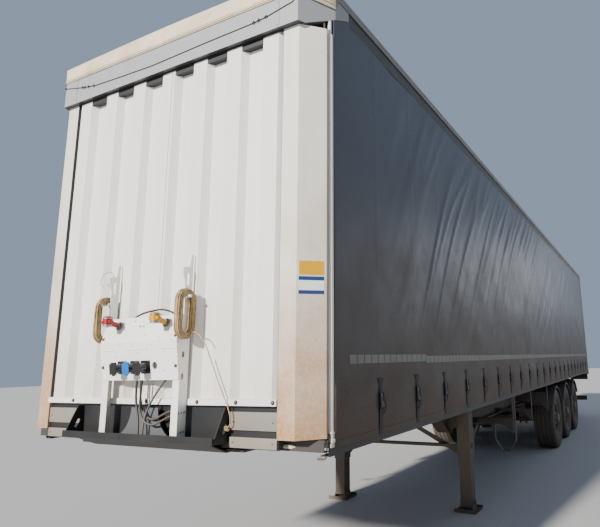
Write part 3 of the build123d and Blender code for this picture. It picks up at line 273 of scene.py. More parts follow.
# %% Node helpers
def node(tree, kind, inputs=None, **settings):
    """A shader node: each input is linked to a socket or set to a value."""
    made = tree.nodes.new("ShaderNode" + kind)
    for key, value in settings.items():
        setattr(made, key, value)
    for key, value in (inputs or {}).items():
        socket = made.inputs[key]
        if isinstance(value, bpy.types.NodeSocket):
            tree.links.new(value, socket)
        else:
            socket.default_value = (*value, 1) if socket.type == "RGBA" else value
    return made


def maths(tree, operation, first, *others):
    """One operation over two or more values, from left to right."""
    for other in others:
        first = node(tree, "Math", {0: first, 1: other}, operation=operation).outputs[0]
    return first


def ramp(tree, value, low, high, start=0.0, end=1.0, **settings):
    """The value between two limits, carried over to the stretch from start to end."""
    return node(tree, "MapRange", {"Value": value, 1: low, 2: high, 3: start, 4: end},
                **settings).outputs[0]


def blend(tree, share, one, two):
    """A mix of two colours: one at share 0, two at share 1."""
    return node(tree, "Mix", {0: share, 6: one, 7: two}, data_type="RGBA").outputs[2]


def surface(tree, label="Position"):
    return node(tree, "NewGeometry").outputs[label]


def noise_at(tree, scale, detail, roughness, stretch=None):
    """Noise over the surface, drawn out along the axes where stretch is small."""
    place = surface(tree)
    if stretch:
        place = node(tree, "Mapping", {"Vector": place, "Scale": stretch}).outputs["Vector"]
    return node(tree, "TexNoise", {"Vector": place, "Scale": scale, "Detail": detail,
                                   "Roughness": roughness}).outputs["Fac"]


def start_group(name, **inputs):
    """A new group's tree and its named inputs, colours or numbers."""
    tree = bpy.data.node_groups.new(name, "ShaderNodeTree")
    for label, value in inputs.items():
        colour = isinstance(value, tuple)
        socket = tree.interface.new_socket(
            label, in_out="INPUT", socket_type="NodeSocketColor" if colour else "NodeSocketFloat")
        socket.default_value = (*value, 1) if colour else value
    return tree, tree.nodes.new("NodeGroupInput").outputs


def end_group(tree, **results):
    """The group's tree, with its named results joined to its output."""
    for label, value in results.items():
        kind = "NodeSocketColor" if value.type == "RGBA" else "NodeSocketFloat"
        tree.interface.new_socket(label, in_out="OUTPUT", socket_type=kind)
    output = tree.nodes.new("NodeGroupOutput")
    for label, value in results.items():
        tree.links.new(value, output.inputs[label])
    return tree


# %% Groups: road dust and rain streaks
def make_dust_group():
    tree, given = start_group("road_dust", Top=1.4, Fade=0.6, Strength=1.0, Ledges=0.4)
    height, facing = (node(tree, "SeparateXYZ", {0: surface(tree, label)}).outputs["Z"]
                      for label in ("Position", "Normal"))
    cloud = maths(tree, "SUBTRACT", noise_at(tree, 2.3, 7.0, 0.62), 0.5)
    wobbly = maths(tree, "SUBTRACT", height, maths(tree, "MULTIPLY", cloud, 1.6))
    below = maths(tree, "DIVIDE", maths(tree, "SUBTRACT", given["Top"], wobbly), given["Fade"])
    low = ramp(tree, below, -0.5, 1.0, interpolation_type="SMOOTHSTEP")
    up = maths(tree, "MULTIPLY", maths(tree, "MAXIMUM", facing, 0.0), given["Ledges"])
    speck = maths(tree, "MULTIPLY", noise_at(tree, 60.0, 3.0, 0.7), 0.7)
    mask = maths(tree, "MULTIPLY", maths(tree, "MAXIMUM", low, up),
                 maths(tree, "ADD", 0.65, speck), given["Strength"])
    return end_group(tree, Mask=node(tree, "Clamp", {0: mask}).outputs[0])


def make_streak_group():
    tree, given = start_group("rain_streaks", Width=22.0, Amount=0.35)
    runs = ramp(tree, noise_at(tree, given["Width"], 5.0, 0.7, (1.0, 1.0, 0.03)), 0.52, 0.72)
    broken = noise_at(tree, 3.0, 3.0, 0.5, (1.0, 1.0, 0.35))
    mask = maths(tree, "MULTIPLY", runs, broken, given["Amount"])
    return end_group(tree, Mask=node(tree, "Clamp", {0: mask}).outputs[0])


# %% Groups: worn edges and mottled colour
def make_wear_group():
    tree, given = start_group("edge_wear", Radius=0.006, Amount=0.6)
    rounded = node(tree, "Bevel", {"Radius": given["Radius"]}, samples=4).outputs[0]
    same = node(tree, "VectorMath", {0: rounded, 1: surface(tree, "Normal")},
                operation="DOT_PRODUCT").outputs["Value"]
    chips = ramp(tree, noise_at(tree, 45.0, 6.0, 0.7), 0.42, 0.6)
    return end_group(tree, Mask=maths(tree, "MULTIPLY", ramp(tree, same, 0.995, 0.88), chips,
                                      given["Amount"]))


def make_mottle_group():
    tree, given = start_group("mottle", Colour=(0.5, 0.5, 0.5), Stain=(0.4, 0.38, 0.35),
                              Scale=3.0, Amount=0.4)
    broad = noise_at(tree, given["Scale"], 6.0, 0.6)
    fine = noise_at(tree, maths(tree, "MULTIPLY", given["Scale"], 14.0), 4.0, 0.65)
    both = maths(tree, "ADD", maths(tree, "MULTIPLY", broad, 0.7),
                 maths(tree, "MULTIPLY", fine, 0.3))
    share = maths(tree, "MULTIPLY", ramp(tree, both, 0.35, 0.68), given["Amount"])
    return end_group(tree, Colour=blend(tree, share, given["Colour"], given["Stain"]),
                     Unevenness=both)


# %% Groups: surface grain and coated weave
def make_grain_group():
    tree, given = start_group("grain", Scale=180.0, Waviness=0.35)
    fine = noise_at(tree, given["Scale"], 3.0, 0.6)
    waves = noise_at(tree, maths(tree, "MULTIPLY", given["Scale"], 0.035), 2.0, 0.5)
    total = maths(tree, "ADD", fine, maths(tree, "MULTIPLY", waves, given["Waviness"]))
    return end_group(tree, Height=total)


def make_weave_group():
    tree, given = start_group("coated_weave", Threads=520.0, Relief=1.0)
    threads = {"Vector": surface(tree), "Scale": given["Threads"], "Distortion": 0.4}
    heights = [node(tree, "TexWave", threads, bands_direction=axis).outputs["Fac"]
               for axis in ("Y", "Z", "X")]
    crossed = maths(tree, "MAXIMUM", *heights)
    return end_group(tree, Height=maths(tree, "MULTIPLY", crossed, given["Relief"]))


effects = {
    "dust": make_dust_group(), "streaks": make_streak_group(), "wear": make_wear_group(),
    "mottle": make_mottle_group(), "grain": make_grain_group(), "weave": make_weave_group(),
}
print("groups:", ", ".join(group.name for group in effects.values()))

# %% [markdown]
# ## Finishes
# One recipe makes every finish: a mottled base colour, streaks and dust over it, bare metal
# or primer where edges are worn, and a bump from grain or weave. The table that follows
# holds only what differs, such as how dark a paint is and how high the dust climbs on it.

# %% Finish recipe
TAN = (0.36, 0.26, 0.165)
EARTH = (0.09, 0.061, 0.038)
DUSTY_ROUGHNESS = 0.75
finishes = {}


def grouped(tree, effect, **values):
    return node(tree, "Group", values, node_tree=effects[effect]).outputs


def scaled(colour, factor, lift=0.0):
    return tuple(c * factor + lift for c in colour)


def inside(tree, limits):
    """A mask that is 1 between two limits on each named axis."""
    place = node(tree, "SeparateXYZ", {0: surface(tree)}).outputs
    tests = [maths(tree, test, place[axis], limit) for axis, pair in limits.items()
             for test, limit in zip(("GREATER_THAN", "LESS_THAN"), pair)]
    return maths(tree, "MULTIPLY", *tests)


def finish(name, colour, stain=None, rough=(0.45, 0.65), metal=0.0, coat=0.0, mottled=(3.0, 0.4),
           dust=(0.9, 0.6, 0.7), ledges=0.4, dirt_and_painted_light=TAN, streaks=0.0, wear=0.0,
           worn=(0.25, 0.22, 0.2), grain=(180.0, 0.3), relief=0.0006, weave=0.0, zones=()):
    """Dust is its top height, fade and strength; rough is the range from clean to dusty. The colour
    of the dust also paints shade and reflection on some finishes.
    """
    material = bpy.data.materials.new(name)
    material.use_nodes = True
    tree = material.node_tree
    shader = tree.nodes["Principled BSDF"]
    base = grouped(tree, "mottle", Colour=colour, Stain=stain or scaled(colour, 0.7),
                   Scale=mottled[0], Amount=mottled[1])
    shade = base["Colour"]
    for limits, tone in zones:
        shade = blend(tree, inside(tree, limits), shade, tone)
    if streaks:
        runs = grouped(tree, "streaks", Amount=streaks)["Mask"]
        shade = blend(tree, runs, shade, scaled(colour, 0.45))
    if wear:
        shade = blend(tree, grouped(tree, "wear", Amount=wear)["Mask"], shade, worn)
    soil_and_painted_light = grouped(tree, "dust", Top=dust[0], Fade=dust[1], Strength=dust[2], Ledges=ledges)["Mask"]
    tree.links.new(blend(tree, soil_and_painted_light, shade, dirt_and_painted_light), shader.inputs["Base Color"])
    gloss = ramp(tree, base["Unevenness"], 0.3, 0.7, rough[0], rough[0] * 0.6 + rough[1] * 0.4)
    dusty = node(tree, "Mix", {0: soil_and_painted_light, 2: gloss, 3: max(rough[1], DUSTY_ROUGHNESS)},
                 data_type="FLOAT").outputs[0]
    tree.links.new(dusty, shader.inputs["Roughness"])
    shader.inputs["Metallic"].default_value = metal
    shader.inputs["Coat Weight"].default_value = coat
    shader.inputs["Coat Roughness"].default_value = 0.2
    if weave:
        height = grouped(tree, "weave", Relief=weave)["Height"]
    else:
        height = grouped(tree, "grain", Scale=grain[0], Waviness=grain[1])["Height"]
    bump = node(tree, "Bump", {"Height": height, "Distance": relief, "Strength": 0.6})
    tree.links.new(bump.outputs["Normal"], shader.inputs["Normal"])
    finishes[name] = material


# %% Paints and metals
WHITE = (0.8, 0.785, 0.745)
BLACK = (0.009, 0.0095, 0.0105)
PAINTED_SHADE_UNDER_CAP = {"Z": (3.75, 3.7605)}
PAINTED_SHADE_BELOW_LEDGE = {"Z": (1.0, 1.4735)}
PLATE_FACE = {"X": (-0.26, 0.26), "Y": (-6.906, -6.89)}
finish("wall_paint", WHITE, (0.7, 0.675, 0.61), (0.38, 0.6), coat=0.1, mottled=(1.6, 0.5),
       dust=(1.75, 1.0, 0.5), ledges=0.5, streaks=0.2, wear=0.15, grain=(60.0, 1.0), relief=0.0008)
finish("post_paint", (0.74, 0.715, 0.66), (0.6, 0.55, 0.47), (0.42, 0.65), mottled=(2.2, 0.6),
       dust=(2.35, 1.3, 0.95), ledges=0.6, dirt_and_painted_light=(0.37, 0.195, 0.075), streaks=0.25, wear=0.3)
# Painted shade: the headboard's underside is painted near black, for the shadow under it.
finish("headboard_paint", (0.33, 0.335, 0.345), (0.28, 0.28, 0.28), (0.4, 0.6),
       mottled=(1.8, 0.5), dust=(0.6, 0.5, 0.5), ledges=0.5, streaks=0.2, wear=0.3,
       zones=((PAINTED_SHADE_UNDER_CAP, (0.035, 0.035, 0.036)),))
# Painted shade: the sill's face below the ledge is painted black, for the shadow it lies in.
finish("sill_paint", WHITE, (0.6, 0.56, 0.5), dust=(1.4, 0.3, 0.06), dirt_and_painted_light=EARTH, ledges=0.15,
       wear=0.5, worn=(0.1, 0.07, 0.045), zones=((PAINTED_SHADE_BELOW_LEDGE, BLACK),))
finish("plate_paint", (0.2, 0.19, 0.175), (0.13, 0.12, 0.105), (0.45, 0.7), dust=(1.5, 0.4, 0.3),
       wear=0.4)
finish("console_paint", (0.88, 0.865, 0.82), (0.74, 0.7, 0.62), (0.36, 0.6), coat=0.1,
       mottled=(4.0, 0.45), dust=(1.5, 0.4, 0.35), ledges=0.3, wear=0.45, worn=(0.3, 0.25, 0.2))
finish("rail_metal", (0.085, 0.083, 0.08), (0.06, 0.058, 0.055), (0.5, 0.7), mottled=(3.0, 0.6),
       dust=(0.6, 0.5, 0.4), streaks=0.3)
# The poles' cream is made lighter than the posts' paint: painted light, since the corner posts
# shade them.
finish("pole_paint", (0.86, 0.8, 0.7), (0.62, 0.54, 0.43), (0.3, 0.6), dust=(1.6, 0.8, 0.6),
       streaks=0.4, wear=0.2)
finish("post_metal", (0.35, 0.36, 0.37), rough=(0.4, 0.6), metal=0.7, dust=(1.5, 0.6, 0.5))
# The chassis' dust is darkened: partly its real colour, partly painted shade for the shade under
# the trailer.
finish("chassis_paint", (0.03, 0.029, 0.028), (0.055, 0.047, 0.04), (0.5, 0.8),
       mottled=(5.0, 0.7), dust=(1.15, 0.8, 0.6), ledges=0.7, dirt_and_painted_light=EARTH, wear=0.4,
       worn=(0.12, 0.07, 0.04), relief=0.001)
finish("black_plate", (0.004, 0.004, 0.0045), (0.012, 0.012, 0.012), (0.55, 0.8),
       mottled=(6.0, 0.6), dust=(1.25, 0.15, 0.08), ledges=0.3, dirt_and_painted_light=EARTH, wear=0.4,
       worn=(0.05, 0.048, 0.045), relief=0.0008, zones=((PLATE_FACE, (0.085, 0.088, 0.095)),))
# The legs' dark brown is their paint and dust, darkened further as painted shade for the shade
# under the trailer.
finish("leg_paint", (0.075, 0.064, 0.054), (0.05, 0.04, 0.03), (0.5, 0.85), mottled=(6.0, 0.7),
       dust=(1.2, 0.8, 0.6), ledges=0.6, dirt_and_painted_light=(0.13, 0.098, 0.068), wear=0.5,
       worn=(0.13, 0.07, 0.04), relief=0.001)
finish("tank_paint", (0.02, 0.02, 0.022), rough=(0.3, 0.7), dust=(1.2, 0.5, 0.5), ledges=0.6,
       dirt_and_painted_light=EARTH)
finish("kingpin_steel", (0.28, 0.27, 0.26), (0.1, 0.09, 0.08), (0.25, 0.5), metal=1.0,
       mottled=(30.0, 0.8), dust=(0.5, 0.3, 0.2), ledges=0.1)
finish("zinc", (0.46, 0.46, 0.45), (0.3, 0.29, 0.27), (0.32, 0.6), metal=0.9, mottled=(25.0, 0.6),
       dust=(1.2, 0.6, 0.4), ledges=0.3)
finish("dull_bolt", (0.14, 0.12, 0.1), (0.1, 0.065, 0.04), (0.4, 0.7), metal=0.6,
       mottled=(40.0, 0.8), dust=(1.2, 0.6, 0.4), dirt_and_painted_light=EARTH)
finish("rear_paint", (0.4, 0.41, 0.42), (0.33, 0.33, 0.33), (0.4, 0.65), dust=(1.5, 0.7, 0.6),
       streaks=0.3, wear=0.35)
finish("door_paint", (0.7, 0.7, 0.68), (0.6, 0.59, 0.56), (0.35, 0.6), coat=0.1,
       dust=(2.1, 1.3, 0.5), streaks=0.35, wear=0.15)
# The wheels' grey and dust are darkened: partly their own colours, partly painted shade for the
# shade under the trailer.
finish("wheel_paint", (0.3, 0.3, 0.3), (0.18, 0.17, 0.16), (0.42, 0.8), metal=0.4,
       mottled=(9.0, 0.6), dust=(1.3, 0.8, 0.6), ledges=0.5, dirt_and_painted_light=(0.17, 0.13, 0.09), wear=0.3)
finish("coupling_metal", (0.3, 0.3, 0.29), (0.18, 0.17, 0.16), (0.4, 0.6), metal=0.7,
       mottled=(40.0, 0.6), dust=(1.2, 0.5, 0.4), relief=0.0004)

# %% Rubber, plastic, cloth and wood
# The tyres' dust is darkened: partly its real colour, partly painted shade for the shade under the
# trailer.
finish("tyre_rubber", (0.016, 0.016, 0.017), (0.032, 0.028, 0.025), (0.62, 0.9), mottled=(9.0, 0.7),
       dust=(1.1, 0.9, 0.6), ledges=0.5, dirt_and_painted_light=(0.12, 0.09, 0.065), grain=(260.0, 0.5),
       relief=0.0008)
finish("bellows_rubber", (0.015, 0.015, 0.016), rough=(0.55, 0.85), dust=(1.2, 0.5, 0.5),
       dirt_and_painted_light=EARTH)
finish("seal_rubber", (0.012, 0.012, 0.013), rough=(0.5, 0.8), dust=(1.6, 0.9, 0.3), dirt_and_painted_light=EARTH)
finish("guard_plastic", (0.09, 0.09, 0.09), (0.06, 0.058, 0.055), (0.5, 0.8), dust=(1.3, 0.7, 0.6),
       ledges=0.8, dirt_and_painted_light=EARTH, relief=0.001)
for name, colour in (("black_plastic", BLACK), ("blue_plastic", (0.0, 0.12, 0.46)),
                     ("red_plastic", (0.3, 0.0, 0.004)), ("yellow_plastic", (0.6, 0.285, 0.0))):
    finish(name, colour, scaled(colour, 0.65, 0.005), (0.32, 0.6), mottled=(25.0, 0.5),
           dust=(1.3, 0.5, 0.3), ledges=0.3, relief=0.0003)
finish("lamp_plastic", BLACK, rough=(0.35, 0.6), dust=(1.5, 0.6, 0.35), dirt_and_painted_light=EARTH, relief=0.0003)
for name, colour in (("red_lens", (0.45, 0.012, 0.01)), ("amber_lens", (0.7, 0.22, 0.01)),
                     ("clear_lens", (0.62, 0.63, 0.65))):
    finish(name, colour, rough=(0.12, 0.5), coat=0.6, dust=(1.5, 0.6, 0.3), mottled=(30.0, 0.2),
           grain=(300.0, 0.1), relief=0.0005)
# The curtain's bluish grey is its own colour and also a painted reflection of the sky; the brown
# that climbs from the bottom is road dust and also a painted reflection of the ground.
finish("curtain_cloth", (0.075, 0.085, 0.1), (0.052, 0.058, 0.066), (0.24, 0.6),
       mottled=(0.9, 0.45), dust=(2.6, 1.8, 1.0), ledges=0.2, dirt_and_painted_light=(0.078, 0.05, 0.031),
       streaks=0.12, weave=0.5, relief=0.00012)
finish("roof_cloth", (0.78, 0.66, 0.49), (0.42, 0.28, 0.15), (0.5, 0.75), mottled=(5.0, 0.65),
       dust=(0.5, 0.3, 0.3), ledges=0.25, streaks=0.4, weave=0.8, relief=0.0003)
# Painted shade: the side hem is a darker, greyer copy of the roof cloth, for the shaded sides.
finish("side_hem", (0.26, 0.25, 0.235), (0.17, 0.16, 0.145), (0.5, 0.75), mottled=(6.0, 0.8),
       dust=(0.5, 0.3, 0.3), streaks=0.4, weave=0.8, relief=0.0003)
finish("hem_cloth", (0.66, 0.56, 0.42), (0.4, 0.31, 0.22), (0.5, 0.75), mottled=(14.0, 0.8),
       dust=(0.5, 0.3, 0.3), ledges=0.2, weave=0.8, relief=0.0003)
finish("webbing", (0.012, 0.012, 0.013), (0.022, 0.02, 0.019), (0.6, 0.85), mottled=(30.0, 0.7),
       dust=(1.45, 0.3, 0.25), ledges=0.2, dirt_and_painted_light=EARTH, weave=1.5)
finish("band_tape", (0.15, 0.14, 0.12), (0.1, 0.092, 0.08), (0.35, 0.6), mottled=(8.0, 0.6),
       dust=(1.75, 0.6, 0.2), ledges=0.2, relief=0.0002)
finish("rope_sheath", (0.56, 0.39, 0.19), (0.17, 0.105, 0.045), (0.55, 0.8), mottled=(28.0, 0.95),
       dust=(1.3, 0.5, 0.3), ledges=0.15, grain=(420.0, 0.2))
for name, colour, stain in (("cable_sheath", (0.016, 0.016, 0.018), (0.03, 0.03, 0.03)),
                            ("grey_sheath", (0.07, 0.073, 0.085), (0.045, 0.045, 0.05))):
    finish(name, colour, stain, (0.4, 0.7), mottled=(30.0, 0.5), dust=(1.5, 0.5, 0.3), ledges=0.35,
           relief=0.0003)
finish("floor_board", (0.2, 0.12, 0.07), (0.1, 0.06, 0.04), (0.4, 0.7), mottled=(7.0, 0.8),
       dust=(0.9, 0.3, 0.3), ledges=0.3, grain=(40.0, 0.9), relief=0.0008)
for name, colour in (("label_yellow", (0.62, 0.32, 0.0)), ("label_white", (0.74, 0.74, 0.72)),
                     ("label_blue", (0.015, 0.04, 0.15))):
    finish(name, colour, scaled(colour, 0.85, 0.01), (0.3, 0.5), mottled=(25.0, 0.5),
           dust=(1.3, 0.5, 0.4), ledges=0.1, relief=0.0001)
finish("studio_floor", (0.5, 0.49, 0.475), (0.46, 0.45, 0.435), (0.7, 0.8), mottled=(0.5, 0.3),
       dust=(-9.0, 0.5, 0.0), ledges=0.0)
floor_data.materials.append(finishes["studio_floor"])
print(len(finishes), "finishes")

# %% Dress the frame
# Most slots of the record have a finish of their own name. The rest are named here.
SLOT_FINISH = {
    "steel": "kingpin_steel", "rope": "rope_sheath", "roof_fabric": "roof_cloth",
    "curtain_fabric": "curtain_cloth", "black_rubber": "bellows_rubber", "galvanised": "zinc",
    "socket_plastic": "black_plastic",
}
NODE_FINISH = {
    "front_wall": "wall_paint", "front_posts": "post_paint", "front_sill": "sill_paint",
    "front_plate": "black_plate", "headboard": "headboard_paint", "cant_rails": "rail_metal",
    "console_posts": "console_paint", "console_panel": "console_paint",
    "body_frame": "post_metal", "leg_braces": "leg_paint",
}
for row in frame["record"]["subparts"]:
    name, slot = row["node"], row["material_slot"]
    materials = frame["nodes"][name].data.materials
    materials.clear()
    materials.append(finishes[NODE_FINISH.get(name) or SLOT_FINISH.get(slot, slot)])

# %% [markdown]
# ## Curtains
# A curtain hangs from rollers in the cant rail, is wound tight between a pole at each end,
# and is strapped down to the side rave. The pull of the end poles draws long slanting folds
# into the upper part, which lean further over towards the rear. Webbing is welded inside
# above each strap and shows as a faint upright line. Below the reflective band the cloth
# bends in towards the straps, and in front it turns in behind its pole. A grid pushed
# outwards by a sum of those causes gives a surface with the real slack and size.

# %% Curtain surface
CURTAIN_X = 1.2662
CURTAIN_FRONT, CURTAIN_END = 0.196, 13.710
CURTAIN_BOTTOM, RAIL_BOTTOM = 1.24, 3.93
CURTAIN_EDGE, CURTAIN_ROWS = CURTAIN_BOTTOM + 0.004, 96
WALL_TOP, CAP_RISE, CAP_END = 3.76, 0.57, 0.365
STRAP_FIRST, STRAP_PITCH, STRAP_COUNT = 0.717, 0.59, 22
TURNED_IN = [(0.1795, 0.0075), (0.182, 0.0045), (0.186, 0.002), (0.191, 0.0005)]


def smooth(value, low, high):
    share = min(max((value - low) / (high - low), 0.0), 1.0)
    return share * share * (3 - 2 * share)


def bump_at(offset, width):
    """A soft bump of height 1, which fades out over a width to both sides."""
    return math.exp(-(offset / width) ** 2)


def bulge(distance, z, side):
    """How far the cloth stands out of its flat plane, in metres."""
    seed = 11.3 if side > 0 else 47.9

    def waves(x, step, height):
        return noise.noise(Vector((x, seed + step, height)))

    lean = 0.6 + 0.35 * smooth(distance, 0.8, 3.0) + 0.45 * smooth(distance, 3.0, 6.5)
    across = distance + lean * (3.95 - z)
    sharp = 1 - min(abs(waves(across * 3.4, 5, z * 0.45)) * 3.2, 1.0)
    patch = max(smooth(waves(distance * 0.9, 2, z * 0.9), -0.25, 0.3),
                0.9 * smooth(distance, 0.8, 1.2) * (1 - smooth(distance, 3.0, 5.0)))
    folds = (0.004 * waves(across * 2.3, 0, z * 0.3) + 0.0105 * sharp ** 1.7 * patch
             + 0.0014 * waves(across * 9.0, 7, z * 0.6))
    reach = smooth(distance, 0.45, 1.15) * smooth(13.7 - distance, 0.1, 1.0)
    tall = smooth(z, 1.72, 2.35) * (1 - 0.6 * smooth(z, 3.5, 3.93))
    out = folds * reach * tall * (0.95 + 0.25 * smooth(distance, 1.0, 4.0))
    out += 0.004 * waves(distance * 0.7, 9.0, z * 0.8) * reach
    near = (distance - STRAP_FIRST + STRAP_PITCH / 2) % STRAP_PITCH - STRAP_PITCH / 2
    low = smooth(1.585 - z, 0.0, 0.08)
    pillow = 0.0175 * (1 - bump_at(near, 0.13)) * (1 - 0.5 * smooth(1.47 - z, 0.0, 0.22))
    crease = 1.565 + 0.01 * math.sin(distance * 2.1) - 0.025 * bump_at(near, 0.1)
    out += low * (pillow - 0.001) + 0.004 * bump_at(z - crease, 0.022)
    out += 0.0012 * bump_at(near, 0.02) * (1 - low)
    return min(max(out, -0.0035), 0.019)


def on_cloth(side, distance, z, lift=0.0):
    """A place on the curtain's outer face, or lifted off it."""
    return at(side * (CURTAIN_X + bulge(distance, z, side) + lift), distance, z)


def curtain_top(distance):
    """The cap's slanting edge in front, then the rail with a scallop at each roller."""
    if distance < CAP_END:
        return WALL_TOP + (distance - 0.008) * CAP_RISE - 0.004
    hook = abs(math.sin(math.pi * (distance - 0.42) / 0.295))
    return RAIL_BOTTOM - 0.004 - 0.005 * (1 - hook) - 0.012 * bump_at(distance - 1.05, 0.22)


def make_curtain(name, side):
    columns = TURNED_IN + [(distance, 0.0) for distance in np.concatenate(
        [np.linspace(CURTAIN_FRONT, 7.0, 420), np.linspace(7.02, CURTAIN_END, 260)])]
    verts, faces = [], []
    for distance, depth in columns:
        rise = (curtain_top(distance) - CURTAIN_EDGE) / CURTAIN_ROWS
        verts += [on_cloth(side, distance, CURTAIN_EDGE + rise * row, -depth)
                  for row in range(CURTAIN_ROWS + 1)]
    for column in range(len(columns) - 1):
        for row in range(CURTAIN_ROWS):
            a = column * (CURTAIN_ROWS + 1) + row
            b = a + CURTAIN_ROWS + 1
            faces.append((a, b, b + 1, a + 1) if side > 0 else (a, a + 1, b + 1, b))
    data = bpy.data.meshes.new(name)
    data.from_pydata(verts, [], faces)
    return add_piece(name, finished(data, "curtain_cloth", angle=180))


for label, side in SIDES:
    cloth = make_curtain(f"curtain_cloth_{label}", side)
    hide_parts(f"curtain_{label}")
    print(cloth.name, len(cloth.data.polygons), "faces")

# %% Reflective band and hem
BAND_LOW, BAND_HIGH, BAND_STEP, BAND_GAP = 1.688, 1.742, 0.09, 0.008
BAND_FRONT, BAND_END, STEP_PLACE, STEP_DOWN = 0.34, 13.4, 1.46, 0.012
HEM_Z = CURTAIN_BOTTOM + 0.02
for label, side in SIDES:
    band = Shapes()
    distance = BAND_FRONT
    while distance < BAND_END:
        drop = 0.0 if distance < STEP_PLACE else STEP_DOWN
        stretch = np.linspace(distance, distance + BAND_STEP - BAND_GAP, 4)
        bridge(band.mesh, [[band.mesh.verts.new(on_cloth(side, d, z - drop, 0.0012))
                            for d in stretch] for z in (BAND_LOW, BAND_HIGH)])
        distance += BAND_STEP
    tape = band.make(f"reflective_band_{label}", "band_tape", "curtain_fabric")
    edge = Shapes()
    line = [on_cloth(side, d, HEM_Z, 0.0008)
            for d in np.arange(CURTAIN_FRONT + 0.01, CURTAIN_END, 0.06)]
    edge.strip(line, (0, 0, 0.018), 0.0026, (side, 0, 0))
    hem = edge.make(f"curtain_hem_{label}", "curtain_cloth", "curtain_fabric")
print("bands and hems done")

# %% [markdown]
# ## Roof tarpaulin
# The roof sheet is a coated cloth drawn over the bows, so it sags a little between them. In
# front it is folded down over the headboard and round the two bevelled corners, where the
# hem is deep and stitched along a welt; along the sides only a narrow hem shows.

# %% Roof sheet
ROOF_TOP, ROOF_CROWN = 4.098, 0.017
ROOF_EDGE, ROOF_FRONT, CORNER_X, CORNER_Y = 1.2715, -0.0415, 1.1475, 0.196
FRONT_HEM, SIDE_HEM, ROOF_END, HEM_STEPS = 0.138, 0.055, 13.738, 5
HEM_LEVEL = 4.1 - FRONT_HEM
BOW_FIRST, BOW_PITCH = 0.6, 0.5971


def roof_half(distance):
    """Half the roof's width, which narrows over the bevelled front corners."""
    share = min((distance - ROOF_FRONT) / (CORNER_Y - ROOF_FRONT), 1.0)
    return CORNER_X + (ROOF_EDGE - CORNER_X) * share


def roof_height(share, distance):
    """Height of the sheet at a share of its half width, from -1 to 1."""
    between = math.sin(math.pi * (distance - BOW_FIRST) / BOW_PITCH) ** 2
    free = smooth(distance, 0.1, 0.6) * smooth(13.7 - distance, 0.0, 0.4)
    sag = 0.007 * between * (1 - share ** 4) * free
    ripple = 0.0015 * noise.noise(Vector((share * 9, distance * 3.5, 3.0)))
    return ROOF_TOP - ROOF_CROWN * abs(share) ** 1.6 - sag + min(ripple, 0.0) * free


def side_hem(top, share):
    """A place in the side hem below a corner, with small waves towards the free edge."""
    side, distance = math.copysign(1, top.x), top.y - FRONT_WALL
    deep = FRONT_HEM if distance <= CORNER_Y + 0.015 else SIDE_HEM
    wave = 0.002 * share * noise.noise(Vector((distance * 6.0, side * 4.0, 8.0)))
    return top.x + side * (wave - 0.001), top.y, ROOF_TOP - ROOF_CROWN - deep * share


def front_hem(top, share):
    wave = 0.0012 * share * noise.noise(Vector((top.x * 5.0, 2.0, 1.0)))
    return top.x, top.y + 0.001 + wave, top.z + (HEM_LEVEL - top.z) * share


def make_roof():
    lengths = np.concatenate([np.linspace(ROOF_FRONT, CORNER_Y, 6),
                              np.linspace(0.24, ROOF_END, 240)])
    mesh = bmesh.new()
    rows = [[mesh.verts.new(at(share * roof_half(d), d, roof_height(share, d)))
             for share in np.linspace(-1, 1, 41)] for d in lengths]
    bridge(mesh, rows)
    right, left = ([row[end] for row in rows] for end in (0, -1))
    for edge, place in ((right[::-1], side_hem), (left, side_hem), (rows[0][::-1], front_hem)):
        upper = edge
        for step in range(1, HEM_STEPS + 1):
            lower = [mesh.verts.new(place(vert.co, step / HEM_STEPS)) for vert in edge]
            bridge(mesh, [upper, lower])
            upper = lower
    bmesh.ops.remove_doubles(mesh, verts=mesh.verts, dist=0.0008)
    data = finished(mesh_data("roof_tarpaulin", mesh), "roof_cloth", angle=60)
    return add_piece("roof_tarpaulin", data)


tarpaulin = make_roof()
# Faces that look sideways take the side hem finish, which is painted shade.
tarpaulin.data.materials.append(finishes["side_hem"])
for face in tarpaulin.data.polygons:
    if abs(face.normal.x) > 0.95:
        face.material_index = 1
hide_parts("roof_sheet")

# %% Welt and stitches
WELT_Z, STITCH_Z, STITCH_END = HEM_LEVEL + 0.01, HEM_LEVEL + 0.024, 1.13
welt = Shapes()
front_line = [at(x, ROOF_FRONT - 0.0015, WELT_Z) for x in np.linspace(-CORNER_X, CORNER_X, 30)]
corner = [[at(side * roof_half(d), d, WELT_Z) for d in np.linspace(ROOF_FRONT, CORNER_Y, 6)]
          for side in (-1, 1)]
welt.tube(corner[0][::-1] + front_line[1:-1] + corner[1], 0.0035, sides=6)
stitches = Shapes()
for x in np.arange(-STITCH_END, STITCH_END, 0.022):
    stitches.bar(at(x, ROOF_FRONT - 0.001, STITCH_Z), at(x + 0.013, ROOF_FRONT - 0.001, STITCH_Z),
                 0.0012, sides=5)
welting = welt.make("roof_welt", "hem_cloth", "roof_fabric")
stitching = stitches.make("roof_stitches", "seal_rubber", "roof_fabric")
print(tarpaulin.name, len(tarpaulin.data.polygons), "faces")

# %% [markdown]
# ## Straps and buckles
# Each strap comes up from a hook under the rave, through an over-centre buckle, and ends in
# a patch sewn onto the cloth. A loose tail of webbing hangs from every buckle. The parts are
# plain folded steel and woven band, so they are drawn once for a place and repeated with
# small differences in how the tail fell.

